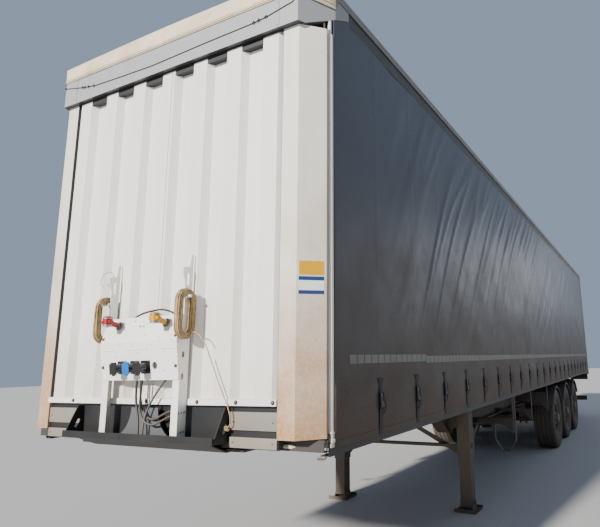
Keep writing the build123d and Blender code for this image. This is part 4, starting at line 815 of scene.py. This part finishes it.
# %% Straps
# Places are in a buckle's own frame: outward from SURFACE, along the side, and up.
STRAP_HALF, SURFACE, WEB_THICK, CLEAR = 0.022, 1.2684, 0.0024, 0.002
LOWER_WEB = ((0.0016, 1.243), (0.003, 1.30), (0.0045, 1.36), (0.0065, 1.41))
UPPER_WEB = ((0.0075, 1.478), (0.005, 1.51), (0.003, 1.53), (0.0022, 1.55), (0.0022, 1.57),
             (0.0022, 1.59))
WING = ((0.004, 1.535), (0.012, 1.55), (0.02, 1.565), (0.028, 1.59))
CHEEK_PLACE, LEVER_PLACE = (0.008, 0.0235, 1.447), (0.0125, 0, 1.45)
PIN_OUT, PIN_HALF, PIN_HEIGHTS = 0.0085, 0.024, (1.407, 1.455, 1.492)
TAIL_START = Vector((0.0155, 0.006, 1.468))
random.seed(7)


def off_cloth(side, distance, z):
    """How far the cloth stands outside the straps' zero line at a place."""
    return CURTAIN_X + bulge(distance, z, side) - SURFACE


def tail_line(sway, reach, curl):
    """The bent line of a loose end, smoothed from a few knots."""
    offsets = ((0, 0, 0), (0.002, sway * 0.55, -0.006), (0.0025, sway, -reach * 0.4),
               (0.001, sway + curl * 0.5, -reach * 0.8),
               (-0.003, sway + curl - 0.012, -reach * 1.05),
               (-0.006, sway + curl - 0.03, -reach * 0.92))
    line = []
    for share in np.linspace(0, 1, 15):
        points = [TAIL_START + Vector(offset) for offset in offsets]
        while len(points) > 1:
            points = [a.lerp(b, share) for a, b in zip(points, points[1:])]
        line += points
    return line


def strap_parts(straps, buckles, tails, side, distance):
    """Adds one strap to the three collectors and gives the length of its tail."""
    placed = Matrix.Translation(at(side * SURFACE, distance, 0)) @ Matrix.Diagonal((side, 1, 1, 1))
    out = (side, 0, 0)
    for web, half in ((LOWER_WEB, STRAP_HALF), (UPPER_WEB, STRAP_HALF * 0.9)):
        line = [placed @ Vector((max(x, off_cloth(side, distance, z) + CLEAR), 0, z))
                for x, z in web]
        straps.strip(line, (0, half, 0), WEB_THICK, out)
    for lean in (-1, 1):
        wing = [placed @ Vector((off_cloth(side, distance + lean * y, z) + 0.0022, lean * y, z))
                for y, z in WING]
        straps.strip(wing, (0, 0.012, 0.004 * lean), 0.002, out)
        cheek = placed @ Matrix.Translation(Vector(CHEEK_PLACE) * Vector((1, lean, 1)))
        buckles.box((-0.006, -0.0015, -0.05), (0.007, 0.0015, 0.052), 0.0008, cheek)
    lever = placed @ Matrix.Translation(LEVER_PLACE) @ Matrix.Rotation(math.radians(-5), 4, "Y")
    buckles.box((-0.0015, -0.021, -0.042), (0.0015, 0.021, 0.048), 0.001, lever)
    for z in PIN_HEIGHTS:
        ends = (placed @ Vector((PIN_OUT, lean * PIN_HALF, z)) for lean in (-1, 1))
        buckles.bar(*ends, 0.0034, sides=8)
    sway, reach = random.uniform(0.02, 0.075), random.uniform(0.09, 0.16)
    path = [placed @ point for point in tail_line(sway, reach, random.uniform(-0.02, 0.03))]
    tails.strip(path, (side * 0.002, 0.0065, 0.009), 0.0016, out)
    return sum((b - a).length for a, b in zip(path, path[1:]))


straps, buckles, tails = Shapes(), Shapes(), Shapes()
tail_length = sum(strap_parts(straps, buckles, tails, side, STRAP_FIRST + n * STRAP_PITCH)
                  for _, side in SIDES for n in range(STRAP_COUNT))
webbing_piece = straps.make("strap_webbing", "webbing", "webbing")
buckle_piece = buckles.make("strap_buckles", "black_plastic", "webbing")
tail_piece = tails.make("strap_tails", "webbing", "webbing", angle=60)
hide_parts("curtain_straps")
print(2 * STRAP_COUNT, "straps, tails together", round(tail_length, 2), "m")

# %% [markdown]
# ## Ropes and cables
# A cord is one smooth curve whose control points are the route given to its solid in the
# part's source. The customs rope is kept in two hanks on the console's pegs. A hank is wound
# in flat spirals, layer beside layer, so that no turn passes through another; from the left
# hank the rope runs down to the ear of the front plate and is knotted through its slot.

# %% Cord helper
def cord_piece(name, points, diameter, material):
    curve = bpy.data.curves.new(name, "CURVE")
    curve.dimensions = "3D"
    curve.bevel_depth = diameter / 2
    curve.bevel_resolution = 3
    curve.resolution_u = 8
    curve.use_fill_caps = True
    spline = curve.splines.new("NURBS")
    spline.points.add(len(points) - 1)
    for control, place in zip(spline.points, points):
        control.co = (*place, 1)
    spline.order_u = 3
    spline.use_endpoint_u = True
    curve.materials.append(finishes[material])
    return add_piece(name, curve)


def length_of(piece):
    """The length of the curve's own line, read from a copy without thickness."""
    bare = add_object("bare_line", piece.data.copy())
    bare.data.bevel_depth = 0
    bpy.context.view_layer.update()
    seen = bare.evaluated_get(bpy.context.evaluated_depsgraph_get())
    line = [v.co.copy() for v in bpy.data.meshes.new_from_object(seen).vertices]
    bpy.data.objects.remove(bare)
    return sum((b - a).length for a, b in zip(line, line[1:]))


# %% Hanks of rope
ROPE, PEG_D, HANK_Z = 0.007, -0.075, 2.0133
HANK_STRAIGHT = 0.085
OUTER_RADIUS, INNER_RADIUS = 0.0685, 0.0345
LAYERS, TURNS, POINTS_A_TURN = 4, 4, 20
SPIRAL_TURNS, STEP_TURNS = TURNS - 0.6, 0.6
HANK_OUTER_X, LAYER_PITCH = 0.3846, 0.0098


def hank_point(turn, radius):
    """A place on a loop with two straight sides, from its rear lower quarter onwards."""
    arc, straight = math.pi * radius, 2 * HANK_STRAIGHT
    half, run = divmod(turn % 1.0 * 2 * (arc + straight), arc + straight)
    sign = -1 if half else 1
    if run < arc:
        angle = math.pi * run / arc
        return sign * radius * math.cos(angle), -sign * (radius * math.sin(angle) + HANK_STRAIGHT)
    return -sign * radius, sign * (run - arc - HANK_STRAIGHT)


def hank_route(side):
    """Spirals in and out by turns, with a step over to the next layer at their ends."""
    points = []
    for layer in range(LAYERS):
        for index in range(TURNS * POINTS_A_TURN):
            turn = index / POINTS_A_TURN
            share = min(turn / SPIRAL_TURNS, 1.0)
            inwards = share if layer % 2 == 0 else 1 - share
            radius = OUTER_RADIUS - (OUTER_RADIUS - INNER_RADIUS) * inwards
            step = max(turn - SPIRAL_TURNS, 0.0) / STEP_TURNS if layer + 1 < LAYERS else 0.0
            y, z = hank_point(turn + 0.06, radius)
            drift = 0.0011 * noise.noise(Vector((layer * 3.1, turn * 1.3, side * 2.0)))
            points.append(at(side * (HANK_OUTER_X - LAYER_PITCH * (layer + step)),
                             PEG_D + y + drift, HANK_Z + z))
    return points


TAIL = [
    (0.6603, -0.018, 1.350), (0.694, -0.018, 1.358), (0.703, -0.019, 1.392), (0.690, -0.022, 1.452),
    (0.644, -0.027, 1.541), (0.598, -0.031, 1.633), (0.553, -0.034, 1.722), (0.512, -0.037, 1.815),
    (0.450, -0.040, 1.893), (0.3896, -0.040, 1.905),
]
KNOT = (0.668, -0.018, 1.350)
left_route = [at(*p) for p in TAIL] + hank_route(1)[1:]
hank_left = cord_piece("rope_left", left_route, ROPE, "rope_sheath")
hank_right = cord_piece("rope_right", hank_route(-1), ROPE, "rope_sheath")
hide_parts("rope_hank_left", "rope_tail")
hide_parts("rope_hank_right")
knot = Shapes()
for n, shift in enumerate(((0.004, 0.0, 0.0), (0.008, 0.005, -0.004), (0.007, -0.005, 0.004))):
    middle = at(*KNOT) + Vector(shift)
    loop = [middle + Vector((0.0085 * math.cos(t), 0.004 * math.sin(t + n), 0.0085 * math.sin(t)))
            for t in turns(12)]
    knot.tube(loop, ROPE / 2 * 0.95, closed=True)
knot_piece = knot.make("rope_knot", "rope_sheath", "rope")
left_length, right_length = length_of(hank_left), length_of(hank_right)
hank_route(-1)[0]
print("ropes", round(left_length, 2), "m and", round(right_length, 2), "m")

# %% Hose and cables of the console
HOSE = [(-0.1736, -0.0573, 1.9781), (-0.118, -0.055, 2.0103), (-0.040, -0.053, 2.041),
        (0.050, -0.050, 2.052), (0.135, -0.050, 2.058), (0.222, -0.050, 2.036),
        (0.285, -0.050, 2.003), (0.3394, -0.050, 1.998)]
ACROSS = [(-0.002, -0.058, 1.6197), (-0.006, -0.057, 1.540), (0.008, -0.052, 1.462),
          (0.048, -0.048, 1.402), (0.108, -0.046, 1.386), (0.166, -0.044, 1.408),
          (0.228, -0.042, 1.436), (0.284, -0.041, 1.445), (0.3394, -0.040, 1.445)]
DOWN = [(0.2078, -0.058, 1.6198), (0.156, -0.057, 1.5659), (0.102, -0.054, 1.506),
        (0.060, -0.058, 1.434), (0.046, -0.066, 1.354), (0.046, -0.066, 1.2763)]
LEAD_DOWN = [(-0.02, -0.074, 1.6198), (-0.022, -0.074, 1.57), (-0.018, -0.074, 1.5),
             (0.0, -0.074, 1.44), (0.02, -0.078, 1.38), (0.028, -0.082, 1.33),
             (0.028, -0.082, 1.2763)]
LEAD_ACROSS = [(0.022, -0.072, 1.6198), (0.02, -0.072, 1.55), (0.012, -0.07, 1.47),
               (0.03, -0.066, 1.4), (0.08, -0.064, 1.362), (0.14, -0.062, 1.36),
               (0.2, -0.06, 1.385), (0.26, -0.058, 1.41), (0.3, -0.058, 1.418),
               (0.3394, -0.058, 1.418)]
cords = (("panel_air_hose", HOSE, 0.012, "cable_sheath", "panel_hose"),
         ("power_cable_across", ACROSS, 0.013, "cable_sheath", "cable_across"),
         ("power_cable_down", DOWN, 0.012, "grey_sheath", "cable_down"),
         ("socket_lead_down", LEAD_DOWN, 0.013, "cable_sheath", None),
         ("socket_lead_across", LEAD_ACROSS, 0.013, "cable_sheath", None))
for name, route, diameter, material, solid in cords:
    points = [at(*p) for p in route]
    piece = cord_piece(name, points, diameter, material)
    if solid:
        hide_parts(solid)
    length = length_of(piece)
    print(name, round(length, 3), "m")

# %% [markdown]
# ## Front wall fittings
# Small things make the front: a lapped seam in the pressed sheet, bolts on the ledge, plates
# under it, and two stickers that are left blank. Dark strips on the grooves beside the corner
# posts, a dark strip along the wall's top under the headboard and dark fillers in the wall's
# valleys there are painted shade; before each curtain pole a dark strip is a rubber seal and
# also painted shade of the hollow there. A steel cable that seals the roof lies over the
# headboard with a knot at each end; it is drawn taut, so it is trim and no free cord.

# %% Seams, painted shade, plates and bolts of the front wall
SHEET_LOW, SHEET_HIGH = 1.512, 3.757
# Heights and outline of the dark fillers that paint the shade under the headboard.
SHADE_BAND_LOW, SHADE_BAND_HIGH, VALLEY_PITCH = 3.715, 3.7585, 0.304
VALLEY_SHADE_OUTLINE = ((-0.0885, 0.0015), (0.0885, 0.0015), (0.0535, 0.0385), (-0.0535, 0.0385))
seams_and_painted_shade = Shapes()
seams_and_painted_shade.box(at(0.0338, -0.0014, SHEET_LOW), at(0.036, 0.0004, SHEET_HIGH))
for side in (-1, 1):
    # Painted shade: a dark strip on the groove beside each corner post.
    seams_and_painted_shade.box(at(side * 1.0105, 0.0006, SHEET_LOW), at(side * 1.0128, 0.0395, SHEET_HIGH))
    seams_and_painted_shade.box(at(side * 0.9995, -0.0358, 3.764), at(side * 1.0015, -0.0346, 3.96))
    # A rubber seal before each curtain pole, dark also as painted shade of the hollow there.
    seams_and_painted_shade.box(at(side * 1.2305, 0.1125, 1.335), at(side * 1.243, 0.1255, 3.8), 0.002)
# Painted shade: a dark strip along the wall's top under the headboard.
seams_and_painted_shade.box(at(-1.008, -0.008, 3.7515), at(1.008, -0.0005, SHADE_BAND_HIGH), 0.001)
# Painted shade: dark fillers in the valleys under the headboard.
for n in range(-3, 3):
    seams_and_painted_shade.skin([[at((n + 0.5) * VALLEY_PITCH + x, d, z) for x, d in VALLEY_SHADE_OUTLINE]
                for z in (SHADE_BAND_LOW, SHADE_BAND_HIGH)])
seams_and_painted_shade.make("front_seams_and_painted_shade", "seal_rubber", "grey_rail")

lap = Shapes()
lap.box(at(0.0362, -0.001, SHEET_LOW), at(0.0612, 0.0004, SHEET_HIGH), 0.0004)
lap.make("front_lap", "wall_paint", "white_panel")

plates = Shapes()
for side in (-1, 1):
    for low, high in ((1.34, 1.44), (1.245, 1.303)):
        plates.box(at(side * 0.672, 0.006, low), at(side * 1.008, 0.0195, high), 0.003)
plates.make("sill_plates", "plate_paint", "white_panel")

bolts = Shapes()
for x in (-0.728, -0.001, 0.43, 0.729, 0.992):
    bolts.bolt(at(x, -0.012, 1.4925), (0, -1, 0), 0.0085)
for side in (-1, 1):
    for z in (1.385, 1.275):
        for x in (0.7, 0.98):
            bolts.rivet(at(side * x, 0.006, z), (0, -1, 0), 0.006)
    for z in (3.78, 3.87, 3.94):
        bolts.rivet(at(side * 0.985, -0.035, z), (0, -1, 0), 0.004)
bolts.make("front_bolts", "dull_bolt", "steel")

# %% Blank stickers on the left corner post
FACET, OUT = 1.131, Vector((1, -1, 0)).normalized()
for name, material, lift, fields in (
        ("sticker_yellow", "label_yellow", 0.0008, ((1.141, 2.189, 2.269),)),
        ("sticker_white", "label_white", 0.0008, ((1.139, 2.08, 2.18),)),
        ("sticker_bars", "label_blue", 0.0014, ((1.139, 2.158, 2.18), (1.139, 2.08, 2.101)))):
    sticker = Shapes()
    for edge, low, high in fields:
        # On the slanted face of the post X less the distance is the same everywhere.
        front = [at(x, x - FACET, z) + OUT * lift for x, z in
                 ((edge, low), (1.241, low), (1.241, high), (edge, high))]
        sticker.skin([front, [place - OUT * 0.0006 for place in front]])
    sticker.make(name, material, "white_panel")

# %% Seal cable over the headboard
SEAL = [(-1.146, 3.921), (-1.02, 3.893), (-0.929, 3.875), (-0.782, 3.85), (-0.45, 3.838),
        (-0.143, 3.83), (0.13, 3.838), (0.386, 3.846), (0.795, 3.853), (0.913, 3.863),
        (1.01, 3.881), (1.103, 3.897), (1.149, 3.93)]
LOOPS = ((-0.929, 3.875), (-0.9, 3.869), (-0.855, 3.862), (-0.79, 3.852), (0.8, 3.854),
         (0.84, 3.857), (0.9, 3.863))
seal = Shapes()
seal.tube([at(x, -0.0385, z) for x, z in SEAL], 0.0028)
for x, z in LOOPS:
    loop = [at(x + 0.0095 * math.cos(a), -0.0415 - 0.0035 * math.sin(2 * a),
               z + 0.0085 * math.sin(a)) for a in turns(16)]
    seal.tube(loop, 0.0026, sides=6, closed=True)
for x, z in (SEAL[0], SEAL[-1]):
    seal.bar(at(x, -0.036, z), at(x, -0.0435, z), 0.008, 0.006, sides=12)
seal.make("seal_cable", "cable_sheath", "grey_rail")

# %% Tensioner at the foot of the front poles
POLE_X, POLE_D = 1.24, 0.171
tension = Shapes()
for side in (-1, 1):
    centre = (side * POLE_X, POLE_D)
    tension.bar(at(*centre, 1.268), at(*centre, 1.318), 0.0245, sides=24)
    tension.bar(at(*centre, 1.318), at(*centre, 1.33), 0.0275, 0.024, sides=24)
    for turn in turns(12):
        tooth = Vector((math.cos(turn), math.sin(turn), 0)) * 0.0255
        tension.box(at(*centre, 1.272) + tooth - Vector((0.003, 0.003, 0)),
                    at(*centre, 1.29) + tooth + Vector((0.003, 0.003, 0)), 0.001)
    tension.box(at(side * 1.2, 0.148, 1.245), at(side * 1.262, 0.194, 1.267), 0.003)
    tension.bar(at(side * 1.225, 0.14, 1.258), at(side * 1.04, 0.1, 1.25), 0.009, 0.007)
    tension.box(at(side * 0.985, 0.09, 1.241), at(side * 1.05, 0.108, 1.262), 0.005)
tension.make("pole_tensioners", "pole_paint", "pole_paint")
print("front fittings done")

# %% [markdown]
# ## Console fittings
# The console holds what a tractor's lines plug into: a red and a yellow air coupling, and
# sockets whose lids are black and, in the middle, blue. The panel is folded, so each fitting
# is placed along the normal of its own fold.

# %% Console
LOWER_NORMAL, UPPER_NORMAL = Vector((0, -0.992, -0.127)), Vector((0, -0.968, 0.25))
FOLD_Z, BEAD_Z = 1.86, 1.81


def on_panel(x, z):
    """A place on the panel's outer face and the normal of the fold there."""
    if z < FOLD_Z:
        return at(x, -0.08 - 0.03 * (z - 1.625) / 0.235, z), LOWER_NORMAL
    return at(x, -0.11 + 0.04 * (z - FOLD_Z) / 0.155, z), UPPER_NORMAL


panel_bolts, panel_beads, hole_shade_discs = Shapes(), Shapes(), Shapes()
for x in (-0.328, 0.328):
    for z in (1.973, 1.885, 1.706):
        panel_bolts.bolt(*on_panel(x, z), 0.0075)
for x, z in ((-0.295, 1.81), (-0.16, 1.84), (-0.05, 1.83), (0.13, 1.835), (0.26, 1.9), (-0.25, 1.9),
             (-0.1, 1.885), (0.06, 1.895), (0.19, 1.88), (0.0, 1.79), (-0.2, 1.77), (0.24, 1.79)):
    panel_bolts.rivet(*on_panel(x, z), 0.0035)
for low, high in ((-0.307, -0.223), (-0.094, 0.091), (0.214, 0.322)):
    panel_beads.bar(on_panel(low, BEAD_Z)[0], on_panel(high, BEAD_Z)[0], 0.0035, sides=12)
# Painted shade: flush dark discs stand for the shade inside the panel's holes.
for x, z, radius in ((-0.07, 1.99, 0.005), (-0.01, 1.955, 0.007), (0.024, 1.953, 0.006),
                     (-0.2, 1.66, 0.004), (0.06, 1.66, 0.004), (0.225, 1.68, 0.004)):
    place, normal = on_panel(x, z)
    hole_shade_discs.bar(place - normal * 0.001, place + normal * 0.0006, radius, sides=20)
for side in (-1, 1):
    for d, z in ((-0.066, 1.43), (-0.046, 1.432), (-0.026, 1.434), (-0.068, 1.318), (-0.046, 1.32),
                 (-0.026, 1.322)):
        panel_bolts.rivet(at(side * 0.345, d, z), (side, 0, 0), 0.0055)
panel_beads.box(at(-0.338, -0.082, 1.6235), at(0.338, -0.073, 1.629), 0.002)
panel_bolts.make("console_bolts", "dull_bolt", "steel")
panel_beads.make("console_beads", "console_paint", "white_panel")
hole_shade_discs.make("console_hole_shade_discs", "seal_rubber", "socket_plastic")

# %% Coupling caps and socket lids
CAP_D, CAP_RADIUS, CAP_TOP = -0.17, 0.0285, 0.024
for x, colour in ((-0.205, "red"), (0.225, "yellow")):
    cap = Shapes()
    cap.bar(at(x, CAP_D, 1.972), at(x, CAP_D, 2.006), CAP_RADIUS, sides=28)
    cap.bar(at(x, CAP_D, 2.0152), at(x, CAP_D, 2.022), CAP_RADIUS, CAP_TOP, sides=28)
    cap.bar(at(x, CAP_D, 2.022), at(x, CAP_D, 2.026), CAP_TOP, 0.012, sides=28)
    for lean in (-1, 1):
        cap.box(at(x + lean * 0.02, CAP_D - 0.014, 1.978),
                at(x + lean * 0.04, CAP_D + 0.014, 1.998), 0.004)
    cap.bar(at(x, -0.155, 1.983), at(x, -0.098, 1.97), 0.0172, sides=20)
    cap.make(f"coupling_cap_{colour}", f"{colour}_plastic", "coupling_metal")

SOCKET_Z, FLANGE_HALF, FLANGE_THICK, SCREW_OFF = 1.703, 0.04, 0.0045, 0.033
black, blue = Shapes(), Shapes()
for x, lid in ((-0.142, black), (-0.025, blue), (0.072, black)):
    foot, normal = on_panel(x, SOCKET_Z)
    placed = Matrix.Translation(foot) @ turned_to(normal)
    black.box((-FLANGE_HALF, -FLANGE_HALF, 0.0), (FLANGE_HALF, FLANGE_HALF, FLANGE_THICK), 0.0015,
              placed)
    for u in (-SCREW_OFF, SCREW_OFF):
        for v in (-SCREW_OFF, SCREW_OFF):
            black.rivet(placed @ Vector((u, v, FLANGE_THICK)), normal, 0.0045)
    lid.box((-0.031, -0.034, 0.0632), (0.031, 0.032, 0.0685), 0.0018, placed)
    lid.bar(placed @ Vector((-0.02, 0.034, 0.06)), placed @ Vector((0.02, 0.034, 0.06)), 0.0065)
    lid.box((-0.012, -0.043, 0.058), (0.012, -0.03, 0.066), 0.0015, placed)
black.make("socket_lids_black", "black_plastic", "socket_plastic")
blue.make("socket_lid_blue", "blue_plastic", "socket_plastic")

# %% Wire eye on the right hook
EYE_X, EYE_D, EYE_Z, WIRE, EYE_START, EYE_END = -0.43, -0.045, 2.3, 0.0017, -1.2, 4.6
eye = Shapes()
eye.tube([at(EYE_X + 0.062 * math.cos(a), EYE_D + 0.012 * math.sin(a), EYE_Z + 0.052 * math.sin(a))
          for a in np.linspace(EYE_START, EYE_END, 36)], WIRE)
eye.tube([at(EYE_X + 0.062 * math.cos(EYE_START), EYE_D, 2.2515), at(-0.385, -0.05, 2.235),
          at(-0.352, -0.055, 2.225)], WIRE)
eye.make("wire_eye", "cable_sheath", "steel")
print("console fittings done")

# %% [markdown]
# ## Wheels
# The frame's tyre is a plain turned solid. The piece that replaces it keeps that outline and
# adds what is cut into rubber: four grooves around the tread, small cuts at the shoulders
# and raised rings on the sidewalls. Six wheels share one tyre mesh. The nuts sit on the
# disc's flat ring, and the valve comes out between two hand holes.

# %% Tyres
TYRE_RADIUS, WHEEL_X, SEGMENTS = 0.536, 1.02, 168
AXLES = (8.075, 9.385, 10.695)
GROOVES, GROOVE_DEEP, SHOULDER_X = (0.112, 0.038), 0.013, 0.1565
SIDEWALL = [(0.140, 0.2852), (0.1415, 0.297), (0.153, 0.309), (0.169, 0.325), (0.1705, 0.331),
            (0.178, 0.345), (0.1865, 0.375), (0.1905, 0.398), (0.1917, 0.402), (0.1917, 0.41),
            (0.1905, 0.414), (0.1895, 0.44), (0.185, 0.47), (0.1835, 0.476), (0.181, 0.488),
            (0.1795, 0.505), (0.174, 0.5165), (0.166, 0.525), (SHOULDER_X, 0.5308)]


def tyre_profile():
    """Half widths and radii round the tyre's section, from bead to bead."""
    tread = [(centre + x, drop) for centre in GROOVES for x, drop in
             ((0.0065, 0.0), (0.0045, -GROOVE_DEEP), (-0.0045, -GROOVE_DEEP), (-0.0065, 0.0))]
    half = SIDEWALL + [(x, TYRE_RADIUS - 0.0052 * (x / SHOULDER_X) ** 2 - 0.0003 + drop)
                       for x, drop in tread]
    return half + [(-x, radius) for x, radius in half[::-1]]


def tread_cut(step, x, radius):
    """Cuts at the shoulder on every fourth segment, and fine ones across the tread."""
    if step % 2 == 0 and abs(x) < 0.15 and radius > 0.53:
        return 0.0012
    return 0.006 if step % 4 == 0 and 0.50 < radius < 0.5312 and abs(x) > 0.15 else 0.0


tyre, rings = Shapes(), []
for step, turn in enumerate(turns(SEGMENTS)):
    section = ((x, radius - tread_cut(step, x, radius)) for x, radius in tyre_profile())
    rings.append([(x, radius * math.cos(turn), radius * math.sin(turn)) for x, radius in section])
tyre.skin(rings, closed=True)
rubber = finished(mesh_data("treaded_tyre", tyre.mesh), "tyre_rubber", angle=38)

# %% Wheels, with their nuts, hub screws and valves
DISC_OUT, NUT_CIRCLE, HUB_OUT, SCREW_CIRCLE = 0.1265, 0.152, 0.205, 0.052
VALVE_FOOT, VALVE_TIP = (0.1, 0.2455, 0.012), (0.148, 0.238, 0.012)


def on_circle(turn, radius):
    return Vector((0, radius * math.cos(turn), radius * math.sin(turn)))


for number, distance in enumerate(AXLES, start=1):
    for label, side in SIDES:
        body, out = f"road_wheel_{number}_{label}", Vector((side, 0, 0))
        middle = at(side * WHEEL_X, distance, TYRE_RADIUS)
        piece = add_piece(f"treaded_tyre_{number}_{label}", rubber, body, middle)
        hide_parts(f"tyre_{number}_{label}")
        nuts = Shapes()
        for turn in turns(10, 0.5):
            foot = middle + out * DISC_OUT + on_circle(turn, NUT_CIRCLE)
            nuts.bar(foot, foot + out * 0.004, 0.0205, 0.0185, sides=20)
            nuts.bar(foot, foot + out * 0.024, 0.0165, sides=6)
            nuts.bar(foot, foot + out * 0.031, 0.0105, sides=12)
        for turn in turns(8):
            nuts.bolt(middle + out * HUB_OUT + on_circle(turn, SCREW_CIRCLE), out, 0.005)
        ends = (middle + Vector((side * x, y, z)) for x, y, z in (VALVE_FOOT, VALVE_TIP))
        nuts.bar(*ends, 0.005, 0.0042, sides=10)
        nuts.make(f"wheel_nuts_{number}_{label}", "dull_bolt", "wheel_paint", body)
print("tyre faces", len(rubber.polygons))

# %% [markdown]
# ## Rear
# The back wasn't in the photo, so it follows its type: lenses in the two lamp housings, a
# rubber seal along each door leaf, bolts through the hinge straps, and rubber buffers.

# %% Lamps
REAR_FACE = 13.86
for name, material, low, high in (("lenses_red", "red_lens", 0.98, 1.215),
                                  ("lenses_amber", "amber_lens", 0.88, 0.97),
                                  ("lenses_clear", "clear_lens", 0.78, 0.87)):
    lens = Shapes()
    for side in (-1, 1):
        lens.box(at(side * low, REAR_FACE - 0.001, 1.02), at(side * high, REAR_FACE + 0.008, 1.132),
                 0.004)
    lens.make(name, material, "lamp_plastic")

lamp_rims = Shapes()
for side in (-1, 1):
    rims = [(0.765, 1.225, z, z + 0.008) for z in (1.006, 1.138)]
    rims += [(x, x + 0.006, 1.008, 1.144) for x in (0.765, 0.874, 0.974, 1.219)]
    for x0, x1, z0, z1 in rims:
        lamp_rims.box(at(side * x0, REAR_FACE - 0.001, z0), at(side * x1, REAR_FACE + 0.01, z1),
                      0.002)
lamp_rims.make("lamp_rims", "lamp_plastic", "lamp_plastic")

# %% Door seals, bolts and buffer pads
LEAF_BACK, ROD_BACK = 13.896, 13.918
HINGE_LOW, HINGE_HIGH, HINGES = 1.52, 3.826, 4
for label, side in SIDES:
    door_seal, door_bolts = Shapes(), Shapes()
    for x0, x1, z0, z1 in ((0.008, 0.024, 1.36, 3.98), (1.21, 1.226, 1.36, 3.98),
                           (0.03, 1.205, 1.352, 1.366), (0.03, 1.205, 3.974, 3.988)):
        door_seal.box(at(side * x0, LEAF_BACK - 0.0005, z0), at(side * x1, LEAF_BACK + 0.004, z1),
                      0.0012)
    for z in np.linspace(HINGE_LOW, HINGE_HIGH, HINGES):
        for x in (1.02, 1.09, 1.16):
            door_bolts.bolt(at(side * x, LEAF_BACK + 0.0098, z), (0, 1, 0), 0.008)
    for x in (0.33, 0.9):
        for z in (1.405, 2.69, 3.94):
            for lean in (-0.021, 0.021):
                door_bolts.rivet(at(side * (x + lean), ROD_BACK, z), (0, 1, 0), 0.004)
    door_seal.make(f"door_seal_{label}", "seal_rubber", "door_paint", f"rear_door_{label}")
    door_bolts.make(f"door_bolts_{label}", "zinc", "galvanised", f"rear_door_{label}")

buffers = Shapes()
for side in (-1, 1):
    buffers.box(at(side * 0.945, 13.9585, 1.19), at(side * 1.055, 13.961, 1.295), 0.001)
buffers.box(at(-0.26, REAR_FACE - 0.0005, 1.185), at(0.26, REAR_FACE + 0.002, 1.3), 0.001)
buffers.make("rear_pads", "label_white", "rear_paint")
print("rear fittings done")

# %% [markdown]
# ## Running gear
# Bolts on the leg mounts and a ribbed grip on the crank of the landing gear. They are
# hidden in the photo's deep shade, so they are plain and follow the type.

# %% Legs and crank
LEG_X, LEG_D, SHAFT_Z, CRANK_Z = 0.84, 3.62, 0.7, 0.44
gear = Shapes()
for side in (-1, 1):
    for y in (-0.1, -0.04, 0.04, 0.1):
        for z in (0.96, 1.06, 1.14):
            gear.bolt(at(side * 0.754, LEG_D + y, z), (-side, 0, 0), 0.008)
    for z in (0.56, 0.9, 1.02):
        gear.bar(at(side * LEG_X, 3.5435, z), at(side * LEG_X, 3.54, z), 0.012)
    gear.bar(at(side * 0.915, LEG_D, SHAFT_Z), at(side * 0.93, LEG_D, SHAFT_Z), 0.03, 0.022,
             sides=20)
gear.make("leg_bolts", "dull_bolt", "steel")

grip = Shapes()
ribs = [(x, x - 0.006, 0.0158, 0.0158) for x in (-1.152 - n * 0.0125 for n in range(6))]
for start, end, radius, end_radius in [(-1.146, -1.224, 0.0145, 0.0145), *ribs,
                                       (-1.224, -1.23, 0.017, 0.012)]:
    grip.bar(at(start, LEG_D, CRANK_Z), at(end, LEG_D, CRANK_Z), radius, end_radius, sides=20)
grip.make("crank_grip", "black_plastic", "steel")
print("running gear done")

# %% Finish
bpy.context.view_layer.update()
